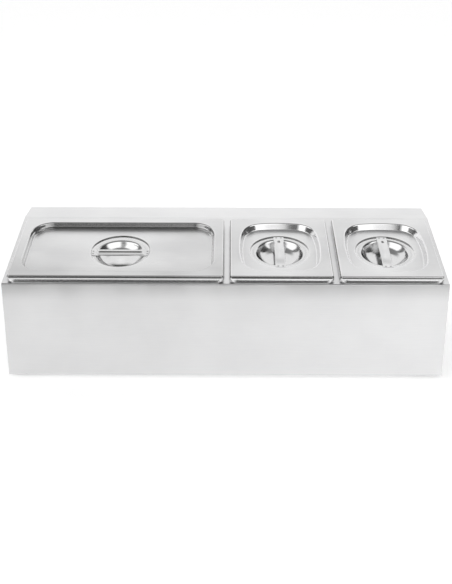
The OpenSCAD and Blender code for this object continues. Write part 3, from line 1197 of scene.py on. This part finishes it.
@dataclass
class Lid:
    """One drawn lid: turned-down rim, recess, round step and finger dish."""

    deck: Deck
    number: int
    name: str
    size: PanSize
    steel: bpy.types.Material
    thickness: float = 0.8
    lap: float = 1.0
    foot: float = 4.7
    rim_height: float = 5.5
    corner: float = 4.5
    rim_fold: float = 1.2
    rim_flare: float = 21.0
    rim_band: float = 2.3
    rim_foot_fold: float = 0.6
    rim_polish: float = 0.9
    rim_width: float = 14.0
    band_run: Point2 = (2.6, 5.7)
    # Painted shade on the rim's slanted band
    band_painted_shade: float = 0.5
    corner_centre: float = 50.0
    recess_depth: float = 9.2
    recess_angle: float = 65.0
    recess_top_fold: float = 1.7
    recess_foot_fold: float = 2.5
    recess_bow: float = 0.0
    step_angle: float = 71.0
    step_bend: float = 30.0
    step_length: float = 0.5
    step_drop: float = 2.4
    step_folds: tuple[float, float, float] = (1.0, 0.6, 1.4)
    wall_polish: float = 1.0
    # Painted shade on the recess wall, and more at its foot
    wall_painted_shade: float = 0.0
    foot_run: Point2 = (0.9, 4.5)
    foot_painted_shade: float = 0.0
    side_share: float = 0.2
    ring_radius: float = 47.0
    ring_depth: float = 1.6
    ring_fold: float = 0.3
    ring_angle: float = 69.0
    ring_polish: float = 0.55
    ring_lap: float = 0.8
    # Painted shade on the round step's wall, toward the rear
    ring_painted_shade: float = 0.85
    ring_dark_from: float = 0.08
    ring_dark_gain: float = 1.25
    ring_dark_curve: float = 0.7
    grip_forward: float = 0.0
    dish_radius: float = 40.0
    dish_lap: float = 0.5
    dish_depth: float = 13.0
    dish_mouth_fold: float = 4.0
    dish_angle: float = 62.0
    dish_floor_fold: float = 19.5
    dish_floor_edge: float = 9.0
    # Painted shade in the dish, and a crescent of it at the front of its floor
    dish_painted_shade: float = 0.12
    crescent_painted_shade: float = 0.0
    crescent_from: float = 0.375
    crescent_gain: float = 1.6
    first_polish: float = 0.25
    floor_polish: float = 0.8
    turned_steps: int = 144

    @property
    def top(self) -> float:
        """Height of the rim above the deck."""
        return self.foot + self.rim_height

    @property
    def recess_floor(self) -> float:
        """Height of the recess floor above the deck."""
        return self.top - self.recess_depth

    @property
    def shelf(self) -> float:
        """Height of the round step that holds the handle."""
        return self.recess_floor - self.ring_depth

    def rim_path(self) -> SheetPath:
        """Returns the section of the turned-down rim.

        Returns:
            The section from the top, with its slanted band and its upright foot.
        """
        flare = self.rim_flare
        folds = (Fold(flare - 90.0, self.rim_fold), Fold(-flare, self.rim_foot_fold))
        flats = (self.lap, self.rim_band, 0.0)
        path = SheetPath(self.thickness, flats, folds, support=0.25, fold_step=6.0)
        return path.stretched(2, -self.rim_height)

    def recess_path(self) -> SheetPath:
        """Returns the section of the recess wall.

        Returns:
            The section from the rim to the floor, with a soft step on a wide lid.
        """
        upper = self.recess_angle
        if self.size is PanSize.SMALL:
            folds = (Fold(upper, self.recess_top_fold), Fold(-upper, self.recess_foot_fold))
            flats = (self.lap, 0.0, self.lap)
            path = SheetPath(self.thickness, flats, folds, support=0.3, fold_step=6.0)
            return path.stretched(1, self.recess_depth)
        lower = self.step_angle
        angles = (-self.step_bend, self.step_bend + lower - upper, -lower)
        step = tuple(Fold(angle, radius) for angle, radius in zip(angles, self.step_folds))
        folds = (Fold(upper, self.recess_top_fold), *step)
        flats = (self.lap, 0.0, self.step_length, self.step_drop, self.lap)
        path = SheetPath(self.thickness, flats, folds, support=0.2, fold_step=6.0)
        return path.stretched(1, self.recess_depth)

    def ring_path(self) -> SheetPath:
        """Returns the section of the round step.

        Returns:
            The section from the recess floor to the shelf.
        """
        folds = (Fold(self.ring_angle, self.ring_fold), Fold(-self.ring_angle, self.ring_fold))
        flats = (self.lap, 0.0, self.lap)
        path = SheetPath(self.thickness, flats, folds, support=0.25, fold_step=12.0)
        return path.stretched(1, self.ring_depth)

    def shelf_radius(self) -> float:
        """Returns the radius at which the step's fold meets its level shelf."""
        return self.ring_radius + 2 * self.lap - self.ring_path().end()[0]

    def dish_path(self) -> SheetPath:
        """Returns the section of the finger dish.

        Returns:
            The section from the shelf to the dish's floor.
        """
        angle = self.dish_angle
        folds = (Fold(angle, self.dish_mouth_fold), Fold(-angle, self.dish_floor_fold))
        flats = (self.dish_lap, 0.0, self.dish_floor_edge)
        path = SheetPath(self.thickness, flats, folds, support=0.3, fold_step=5.0)
        return path.stretched(1, self.dish_depth)

    def build(self) -> bpy.types.Object:
        """Builds the lid in its place on its pan.

        Returns:
            The lid, riding on its own body in place of its solid.
        """
        sheet = SheetMesh()
        t, forward = self.thickness, self.grip_forward
        rim = self._rim(sheet)
        recess = self._recess(sheet)
        sheet.fill(rim[0], [recess[0]])
        start = (self.ring_radius + self.lap, self.recess_floor - t)
        step = self._turned(sheet, self.ring_path(), start, self.ring_polish, 0.0, self._ring_dark)
        sheet.fill(recess[-1], [step[0]])
        start = (self.dish_radius + self.dish_lap, self.shelf - t)
        dish = self._turned(sheet, self.dish_path(), start, 1.0, forward, self._dish_dark)
        sheet.band(step[-1], dish[0])
        bottom = self.shelf - self.dish_depth
        sheet.cap(dish[-1], (0.0, -forward, bottom), (0.0, -forward, bottom - t), self.floor_polish)
        made = sheet.build(f"{self.name}_drawn", self.deck.lid_place(self.number), self.steel)
        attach(made, self.name)
        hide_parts(self.name)
        return made

    def _rim(self, sheet: SheetMesh) -> list[list[int]]:
        """Adds the turned-down rim.

        Args:
            sheet: the sheet that is being collected.

        Returns:
            Its rings, from the top to the foot.
        """
        edge = RoundRect(self.size.value, self.deck.lid_depth, self.corner, corner_steps=16)
        path = self.rim_path()
        start = self.corner - path.end()[0]
        rings = []
        for s in path.stations():
            polish = self.rim_polish if s.run > self.lap + NEAR else 0.0
            # Painted shade on the slanted band
            heat_tint_and_painted_shade = self.band_painted_shade if self.band_run[0] < s.run < self.band_run[1] else 0.0
            rings.append(ring_of(sheet, edge, s.moved(start, self.top), polish, False, heat_tint_and_painted_shade))
        sheet.bands(rings)
        return rings

    def _recess(self, sheet: SheetMesh) -> list[list[int]]:
        """Adds the recess wall.

        Args:
            sheet: the sheet that is being collected.

        Returns:
            Its rings, from the top to the floor.
        """
        w, d = self.size.value, self.deck.lid_depth
        wall = RoundRect(w, d, self.corner_centre, corner_steps=28, bow=self.recess_bow)
        start = self.corner_centre - self.rim_width + self.lap
        stations = self.recess_path().stations()
        last = stations[-1].run - self.lap
        rings = []
        for s in stations:
            on_wall = self.lap + NEAR < s.run < last - NEAR
            polish = self.wall_polish if on_wall else 0.0
            # Painted shade on the wall, and more at its foot
            heat_tint_and_painted_shade = self.wall_painted_shade if on_wall else 0.0
            if self.foot_run[0] < last - s.run < self.foot_run[1]:
                heat_tint_and_painted_shade = self.foot_painted_shade
            placed = s.moved(start, self.top - self.thickness, turned=True)
            rings.append(ring_of(sheet, wall, placed, polish, True, heat_tint_and_painted_shade, self.side_share))
        sheet.bands(rings)
        return rings

    def _ring_dark(self, run: float, left: float, rear: float) -> float:
        """Returns how dark the round step is.

        Args:
            run: how far the place lies along the section.
            left: how much of the section is left.
            rear: how far it lies toward the rear, from -1 to 1.

        Returns:
            Painted shade on the step's wall only, and toward the rear.
        """
        if min(run, left) <= self.ring_lap:
            return 0.0
        share = self.ring_dark_gain * max(0.0, rear - self.ring_dark_from)
        return self.ring_painted_shade * share**self.ring_dark_curve

    def _dish_dark(self, run: float, left: float, rear: float) -> float:
        """Returns how dark the dish is.

        Args:
            run: how far the place lies along the section, which makes no difference here.
            left: how much of the section is left.
            rear: how far it lies toward the rear, from -1 to 1.

        Returns:
            Painted shade that is weak all over, and stronger at the front of the dish's floor.
        """
        crescent = self.crescent_painted_shade * min(1.0, left / self.dish_floor_edge)
        return self.dish_painted_shade + crescent * self.crescent_gain * max(0.0, -rear - self.crescent_from)

    def _turned(
        self,
        sheet: SheetMesh,
        path: SheetPath,
        start: Point2,
        polish: float,
        forward: float,
        dark: Callable[[float, float, float], float],
    ) -> list[list[int]]:
        """Adds the rings of a section turned about the lid's middle, or in front of it.

        Args:
            sheet: the sheet that is being collected.
            path: the section, which runs inward along the underside.
            start: radius and height at which it starts.
            polish: how polished its folds and walls are.
            forward: how far the axis lies in front of the lid's middle.
            dark: gives the painted shade from the run so far, the run that is left, and how far
            the point lies toward the rear, from -1 to 1.

        Returns:
            The rings, from the outermost to the innermost.
        """
        rings = []
        stations = path.stations()
        length = stations[-1].run
        for i, station in enumerate(stations):
            s = station.moved(*start, turned=True)
            level = polish if i else self.first_polish
            faces, backs = (circle_loop(p[0], self.turned_steps) for p in (s.face, s.back))
            ring = []
            for (fx, fy), (bx, by) in zip(faces, backs):
                top = (bx, by - forward, s.back[1])
                under = (fx, fy - forward, s.face[1])
                # Painted shade from the given function
                heat_tint_and_painted_shade = dark(s.run, length - s.run, by / s.back[0])
                ring.append(sheet.add(top, under, (bx, by), level, heat_tint_and_painted_shade))
            rings.append(ring)
        sheet.bands(rings)
        return rings


@dataclass
class Strap:
    """A strap handle over a lid's finger dish."""

    lid: Lid
    steel: bpy.types.Material
    sideways: bool
    hanging_hole: bool
    groove: float = 0.0
    groove_end_gap: float = 0.5
    groove_width: float = 5.5
    width: float = 16.0
    thickness: float = 1.2
    rise: float = 1.2
    crown_angle: float = 14.0
    edge_length: float = 0.6
    edge_fold: float = 0.6
    half_crown: float = 35.0
    blend_length: float = 3.0
    crown_steps: int = 80
    blend_steps: int = 8
    tab_steps: int = 22
    hole_radius: float = 2.5
    hole_at: float = 29.0
    hole_edge: float = 1.0
    end_gap: float = 0.2
    welds: Point2 = (3.7, 42.4)
    weld_radius: float = 1.3
    weld_depth: float = 0.25
    polish: float = 0.2
    # Painted shade in the groove and round the hanging hole; the welds darken with heat tint
    groove_painted_shade: float = 0.92
    groove_painted_shade_full: float = 0.8
    hole_painted_shade: float = 0.85
    weld_stain: float = 0.9

    def _crown_radius(self) -> float:
        """Works out how round the crown is.

        Returns:
            Its outer radius.
        """
        fold = self.edge_fold + self.thickness
        bend = math.sin(math.radians(self.crown_angle))
        return (self.width / 2 - fold * (1 - bend)) / bend

    def crown(self) -> list[Station]:
        """Returns the section across the crowned stretch.

        Returns:
            Stations from one folded edge to the other.
        """
        edge = Fold(self.crown_angle - 90, self.edge_fold, steps=8)
        top = Fold(-2 * self.crown_angle, self._crown_radius() - self.thickness, steps=26)
        flats = (self.edge_length, 0.0, 0.0, self.edge_length)
        turned = []
        for s in SheetPath(self.thickness, flats, (edge, top, edge), support=0.2).stations():
            face = (-self.width / 2 - s.face[1], s.face[0])
            back = (-self.width / 2 - s.back[1], s.back[0])
            turned.append(Station(face, back, s.run, s.bent))
        return turned

    def crown_height(self) -> float:
        """Works out how high the crown stands.

        Returns:
            Its height above the strap's folded edges.
        """
        a = math.radians(self.crown_angle)
        fold = (self.edge_fold + self.thickness) * math.cos(a)
        return self.edge_length + fold + self._crown_radius() * (1 - math.cos(a))

    @property
    def tab_from(self) -> float:
        """Distance from the strap's middle at which it lies flat."""
        return self.half_crown + self.blend_length

    def marks(self) -> list[float]:
        """Returns places along half the strap.

        Returns:
            Distances from its middle, finer where it is crowned or blended. The tab's are whole
            steps, which are laid out to its real length later.
        """
        crowned = [self.half_crown * k / self.crown_steps for k in range(self.crown_steps)]
        step = self.blend_length / self.blend_steps
        blend = [self.half_crown + step * k for k in range(self.blend_steps)]
        return crowned + blend + [self.tab_from + k for k in range(self.tab_steps)]

    def build(self) -> bpy.types.Object:
        """Builds the strap on its lid.

        Returns:
            The strap, riding with its lid in place of its solid.
        """
        sheet = SheetMesh()
        section = self.crown()
        first, last = section[0].run, section[-1].run
        half = self.marks()
        rows = [
            [self._lay(sheet, s, (s.run - first) / (last - first), mark) for s in section]
            for mark in [-m for m in reversed(half[1:])] + half
        ]
        sheet.bands(rows, closed=False)
        if self.hanging_hole:
            self._pierce(sheet)
        place = self.lid.deck.lid_place(self.lid.number)
        if self.sideways:
            shift = Matrix.Translation((0.0, -self.lid.grip_forward, 0.0))
            place = place @ shift @ Matrix.Rotation(math.pi / 2, 4, "Z")
        made = sheet.build(f"{self.lid.name}_strap", place, self.steel)
        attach(made, self.lid.name)
        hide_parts(f"{self.lid.name}_handle")
        return made

    def _lay(self, sheet: SheetMesh, s: Station, share: float, mark: float) -> int:
        """Adds one point of the strap.

        Args:
            sheet: the sheet that is being collected.
            s: the point's station across the crown.
            share: how far that station lies across, from 0 to 1.
            mark: the point's place along the strap.

        Returns:
            The point's number.
        """
        flat = eased((abs(mark) - self.half_crown) / self.blend_length)
        x_flat = (share - 0.5) * self.width
        along = math.copysign(self._reached(abs(mark), x_flat), mark)
        x, xb = (at + (x_flat - at) * flat for at in (s.face[0], s.back[0]))
        foot = self.lid.recess_floor + self.rise - self.crown_height()
        top = foot + s.face[1] + (self.lid.shelf + self.thickness - foot - s.face[1]) * flat
        under = foot + s.back[1] + (self.lid.shelf - foot - s.back[1]) * flat
        sink, weld = self._sink(x, along), self._weld(x, along)
        # Painted shade in the groove, and heat tint at the welds
        heat_tint_and_painted_shade = max(self.groove_painted_shade * self._inside(x, along), self.weld_stain * weld / self.weld_depth)
        upper, lower = (x, along, top - sink - weld), (xb, along, under - sink)
        return sheet.add(upper, lower, (x, along), self.polish, heat_tint_and_painted_shade)

    def _reached(self, mark: float, x: float) -> float:
        """Returns how far from the middle a point lies, so that the tab ends on the step's circle.

        Args:
            mark: the point's mark, from 0 up.
            x: its place across the flat tab.

        Returns:
            The distance along the strap.
        """
        if mark <= self.tab_from:
            return mark
        reach = self.lid.shelf_radius() - self.end_gap
        aside = x - self.lid.grip_forward if self.sideways else x
        tab = math.sqrt(reach**2 - aside**2) - self.tab_from
        return self.tab_from + tab * (mark - self.tab_from) / (self.tab_steps - 1)

    def _sink(self, x: float, along: float) -> float:
        """Returns how deep the pressed groove is at a place on the strap.

        Args:
            x: the place across the strap.
            along: the place along it.

        Returns:
            The depth, which follows a round with a ball's end.
        """
        if not self.groove:
            return 0.0
        half = self.groove_width / 2
        past = max(0.0, abs(along) - (self.half_crown - self.groove_end_gap - half))
        radius = (half**2 + self.groove**2) / (2 * self.groove)
        off = math.hypot(past, x)
        if off >= half:
            return 0.0
        return self.groove - radius + math.sqrt(radius**2 - off**2)

    def _inside(self, x: float, along: float) -> float:
        """Returns 1 in the pressed groove's bottom and 0 outside it, with a soft edge."""
        full = self.groove * self.groove_painted_shade_full
        return eased(self._sink(x, along) / full) if self.groove else 0.0

    def _weld(self, x: float, along: float) -> float:
        """Returns how deep a spot weld's dimple is at a place on the strap."""
        off = math.hypot(abs(x) - self.welds[0], abs(along) - self.welds[1])
        return self.weld_depth * math.exp(-((off / self.weld_radius) ** 2))

    def _pierce(self, sheet: SheetMesh) -> None:
        """Cuts the hanging hole, draws the points beside it onto its circle, and paints shade on its
        edge.

        Args:
            sheet: the strap's sheet.
        """
        r = self.hole_radius

        def off(p: int) -> float:
            """Returns a point's distance from the hole's axis."""
            return math.hypot(sheet.flat[p][0], sheet.flat[p][1] - self.hole_at)

        sheet.patches = [q for q in sheet.patches if sum(off(p) for p in q) / len(q) > r]
        for p in {p for edge in open_edges(sheet.patches) for p in edge if off(p) < r + self.hole_edge}:
            x, y = sheet.flat[p]
            more = r / off(p) - 1
            dx, dy = x * more, (y - self.hole_at) * more
            # Painted shade on the hole's edge
            sheet.heat_tint_and_painted_shade[p] = self.hole_painted_shade
            for side in (sheet.top, sheet.under):
                side[p] = (side[p][0] + dx, side[p][1] + dy, side[p][2])


@dataclass(frozen=True)
class Glow:
    """One soft patch of the studio's light, in degrees. Azimuth 0 is the front, 90 the right."""

    azimuth: float
    elevation: float
    half_width: float
    half_height: float
    light: float
    edge: float = 8.0


@dataclass
class Studio:
    """A pale floor in wide soft light, with the bright and dark patches that steel mirrors."""

    glows: tuple[Glow, ...]
    base: float = 1.06
    floor_half: float = 15.0
    floor_tones: tuple[float, float] = (0.84, 0.83)
    floor_light: float = 0.36
    matt_roughness: float = 0.9
    cloud_scale: float = 2.0
    lamp_height: float = 2.6
    lamp_side: float = 3.4
    lamp_power: float = 15.0
    screen_near: float = -0.74
    screen_far: float = -9.0
    screen_half: float = 1.3
    screen_height: float = 0.002
    screen_tones: tuple[float, float] = (0.10, 0.09)

    def build(self) -> None:
        """Makes the floor, the lamp overhead, the dark screen and the light all round."""
        self._floor()
        self._lamp()
        self._screen()
        self._sky()

    def _plate(self, name: str, corners: Sequence[Point2], z: float) -> bpy.types.Object:
        """Adds a level plate of the stage.

        Args:
            name: the plate's name.
            corners: its corners in plan.
            z: its height.

        Returns:
            The plate, linked to the scene.
        """
        mesh = bpy.data.meshes.new(name)
        mesh.from_pydata([(x, y, z) for x, y in corners], [], [tuple(range(len(corners)))])
        plate = bpy.data.objects.new(name, mesh)
        bpy.context.scene.collection.objects.link(plate)
        return plate

    def _matt(self, name: str, tones: tuple[float, float], light: float) -> bpy.types.Material:
        """Builds a matt grey finish for the stage.

        Args:
            name: the finish's name.
            tones: the two tones that it wanders between.
            light: how much it glows by itself.

        Returns:
            The finish.
        """
        made, bench, matt = new_finish(name, 0.0)
        cloud = bench.noise(bench.place(), Grain.CLOUDY, self.cloud_scale, detail=2.0)
        low, high = ((tone,) * 3 for tone in tones)
        bench.link(bench.blend(cloud, low, high), matt.inputs["Base Color"])
        matt.inputs["Roughness"].default_value = self.matt_roughness
        matt.inputs["Specular IOR Level"].default_value = 0.0
        matt.inputs["Emission Color"].default_value = (1.0, 1.0, 1.0, 1.0)
        matt.inputs["Emission Strength"].default_value = light
        return made

    def _floor(self) -> None:
        """Makes the pale floor."""
        e = self.floor_half
        floor = self._plate("pale_floor", [(-e, -e), (e, -e), (e, e), (-e, e)], 0.0)
        floor.data.materials.append(self._matt("pale_floor", self.floor_tones, self.floor_light))

    def _screen(self) -> None:
        """Lays a dark screen before the object, which only the steel mirrors."""
        h, near, far = self.screen_half, self.screen_near, self.screen_far
        corners = [(-h, far), (h, far), (h, near), (-h, near)]
        screen = self._plate("dark_screen", corners, self.screen_height)
        screen.data.materials.append(self._matt("dark_screen", self.screen_tones, 0.0))
        screen.visible_camera = False
        screen.visible_diffuse = False
        screen.visible_shadow = False

    def _lamp(self) -> None:
        """Hangs a wide lamp overhead, which lifts the floor and isn't mirrored."""
        data = bpy.data.lights.new("overhead_lamp", "AREA")
        data.shape = "SQUARE"
        data.size = self.lamp_side
        data.energy = self.lamp_power
        lamp = bpy.data.objects.new("overhead_lamp", data)
        lamp.location = (0.0, 0.0, self.lamp_height)
        lamp.visible_glossy = False
        lamp.visible_camera = False
        bpy.context.scene.collection.objects.link(lamp)

    def _sky(self) -> None:
        """Lights the scene from all round, brighter and darker by direction."""
        world = bpy.data.worlds.new("soft_studio")
        bpy.context.scene.world = world
        world.use_nodes = True
        bench = NodeBench(world.node_tree)
        out = bench.node("ShaderNodeOutputWorld")
        back = bench.node("ShaderNodeBackground")
        way = bench.node("ShaderNodeTexCoord").outputs["Generated"]
        height = bench.math("ARCSINE", bench.along(way, Vector((0.0, 0.0, 1.0))))
        light: object = self.base
        for glow in self.glows:
            light = self._lay(bench, way, height, light, glow)
        back.inputs["Color"].default_value = (1.0, 1.0, 1.0, 1.0)
        bench.link(light, back.inputs["Strength"])
        bench.link(back.outputs[0], out.inputs[0])

    @staticmethod
    def _lay(
        bench: NodeBench,
        way: bpy.types.NodeSocket,
        height: bpy.types.NodeSocket,
        light: object,
        glow: Glow,
    ) -> bpy.types.NodeSocket:
        """Lays one patch over the light so far.

        Args:
            bench: the world's nodes.
            way: the direction's socket.
            height: the direction's angle above the horizon, in radians.
            light: the light so far.
            glow: the patch.

        Returns:
            The light with the patch.
        """
        a = math.radians(glow.azimuth)
        ahead = Vector((math.sin(a), -math.cos(a), 0.0))
        side = Vector((math.cos(a), math.sin(a), 0.0))
        turned = bench.math("ARCTAN2", bench.along(way, side), bench.along(way, ahead))
        raised = bench.math("SUBTRACT", height, math.radians(glow.elevation))
        masks = []
        for off, half in ((turned, glow.half_width), (raised, glow.half_height)):
            low, high = math.radians(half - glow.edge / 2), math.radians(half + glow.edge / 2)
            masks.append(bench.ramp(bench.math("ABSOLUTE", off), low, high, 1.0, 0.0))
        mask = bench.math("MULTIPLY", *masks)
        kept = bench.math("MULTIPLY", light, bench.math("SUBTRACT", 1.0, mask))
        return bench.math("ADD", kept, bench.math("MULTIPLY", mask, glow.light))


@dataclass(frozen=True)
class Viewpoint:
    """Where the camera stands, which way it looks, and its lens."""

    place: Point3 = (0.00528, -1.48436, 0.68363)
    pitch: float = 0.378923
    yaw: float = -0.003232
    roll: float = 0.002210
    lens: float = 77.765

    def build(self) -> bpy.types.Object:
        """Makes the scene's camera.

        Returns:
            The camera.
        """
        ahead = Vector((
            math.sin(self.yaw) * math.cos(self.pitch),
            math.cos(self.yaw) * math.cos(self.pitch),
            -math.sin(self.pitch),
        ))
        right = Vector((math.cos(self.yaw), -math.sin(self.yaw), 0.0))
        up = right.cross(ahead)
        c, s = math.cos(self.roll), math.sin(self.roll)
        right, up = c * right + s * up, c * up - s * right
        data = bpy.data.cameras.new("camera")
        data.lens = self.lens
        data.sensor_width = 36.0
        data.sensor_fit = "HORIZONTAL"
        data.clip_start = 0.01
        camera = bpy.data.objects.new("camera", data)
        turn = Matrix((right, up, -ahead)).transposed().to_4x4()
        camera.matrix_world = Matrix.Translation(self.place) @ turn
        bpy.context.scene.collection.objects.link(camera)
        bpy.context.scene.camera = camera
        return camera


# What differs from lid to lid
# Its band, wall, foot and crescent darkening numbers are painted shade
LID_DETAILS = {
    "large": {
        "grip_forward": 4.2,
        "recess_angle": 69.0,
        "step_angle": 73.0,
        "wall_painted_shade": 0.62,
        "foot_painted_shade": 0.85,
        "crescent_painted_shade": 0.75,
        "wall_polish": 0.88,
    },
    "middle": {"band_painted_shade": 0.85, "recess_bow": 9.0, "recess_foot_fold": 1.6},
    "right": {"recess_bow": 9.0, "recess_foot_fold": 1.6},
}

# What differs between the wide lid's strap and the small ones'
STRAP_DETAILS = {
    PanSize.WIDE: {"groove": 1.6, "crown_angle": 5.0},
    PanSize.SMALL: {"crown_angle": 8.0, "half_crown": 18.0, "blend_length": 22.0},
}

# Each one's azimuth, elevation, half width, half height, light and soft edge; later ones cover
# the earlier ones
STUDIO_GLOWS = (
    Glow(-58.0, 31.0, 32.0, 27.0, 1.5, 10.0),
    Glow(33.5, 31.0, 31.5, 28.0, 1.5, 5.0),
    Glow(-13.0, 34.0, 11.5, 26.0, 0.47, 8.0),
    Glow(2.0, 3.0, 12.0, 7.0, 1.0, 4.0),
    Glow(-11.0, 7.0, 6.5, 12.0, 0.1, 2.5),
    Glow(94.0, 33.0, 24.0, 34.0, 0.07, 8.0),
    Glow(-103.0, 35.0, 11.0, 30.0, 0.2, 8.0),
    Glow(90.0, 4.0, 50.0, 9.0, 0.08, 5.0),
    Glow(-94.0, 4.0, 33.0, 9.0, 0.08, 5.0),
    Glow(180.0, 1.0, 60.0, 6.0, 0.4, 5.0),
    Glow(0.0, 90.0, 400.0, 33.0, 0.27, 14.0),
)

# Painted shade: the stand's front darker below its top fold and toward its left end, and the wide lid
# darker toward its front
FOLD_PAINTED_SHADE = PaintedShade((0.0, 0.0, 0.126), (0.0, 0.0, 0.160), 0.25, front_only=True, patchy=0.2)
SIDE_PAINTED_SHADE = PaintedShade((0.32, 0.0, 0.0), (-0.216, 0.0, 0.268), 0.125, front_only=True, patchy=0.15)
LID_FRONT_PAINTED_SHADE = PaintedShade((0.0, -0.045, 0.0), (0.0, -0.115, 0.0), 0.16)

STAND_STEEL = SheetSteel(
    "stand_sheet_steel",
    tint=(0.802, 0.802, 0.804),
    shade=(0.771, 0.771, 0.776),
    tones=(FOLD_PAINTED_SHADE, SIDE_PAINTED_SHADE),
)
PAN_STEEL = SheetSteel("pan_sheet_steel")
LID_STEELS = {
    PanSize.SMALL: SheetSteel("lid_sheet_steel", wave_depth=0.05),
    PanSize.WIDE: SheetSteel("wide_lid_sheet_steel", wave_depth=0.05, tones=(LID_FRONT_PAINTED_SHADE,)),
}
STRAP_STEEL = SheetSteel("strap_steel", wave_depth=0.02)


def dress(nodes: Sequence[str], steel: bpy.types.Material) -> None:
    """Gives solids that stay in view their finish.

    Args:
        nodes: the solids' names.
        steel: their finish.
    """
    for name in nodes:
        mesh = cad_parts[name].data
        mesh.materials.clear()
        mesh.materials.append(steel)


def main() -> None:
    """Builds the pieces in order, and reports each one."""
    logging.basicConfig(level=logging.INFO, format="%(name)s: %(message)s")
    deck = Deck()
    Viewpoint().build()
    Studio(glows=STUDIO_GLOWS).build()
    stand_steel = STAND_STEEL.material()
    lid_steels = {size: steel.material() for size, steel in LID_STEELS.items()}
    pan_steel = PAN_STEEL.material()
    strap_steel = STRAP_STEEL.material()
    made = [Stand(deck, stand_steel).build(), *Feet(deck, FootRubber().material()).build()]
    dress(("left_end_panel", "right_end_panel"), stand_steel)
    dress(("foot_screws", "foot_washers", "foot_nuts"), ZincPlate().material())
    sizes = (("large", PanSize.WIDE), ("middle", PanSize.SMALL), ("right", PanSize.SMALL))
    for number, (name, size) in enumerate(sizes):
        wide = size is PanSize.WIDE
        made.append(Pan(deck, number, f"{name}_pan", size, pan_steel).build())
        lid = Lid(deck, number, f"{name}_lid", size, lid_steels[size], **LID_DETAILS[name])
        made.append(lid.build())
        made.append(Strap(lid, strap_steel, wide, not wide, **STRAP_DETAILS[size]).build())
    for piece in made:
        LOG.info("%s: %d faces", piece.name, len(piece.data.polygons))
    bpy.context.scene.view_settings.view_transform = "Standard"


if __name__ == "__main__":
    main()
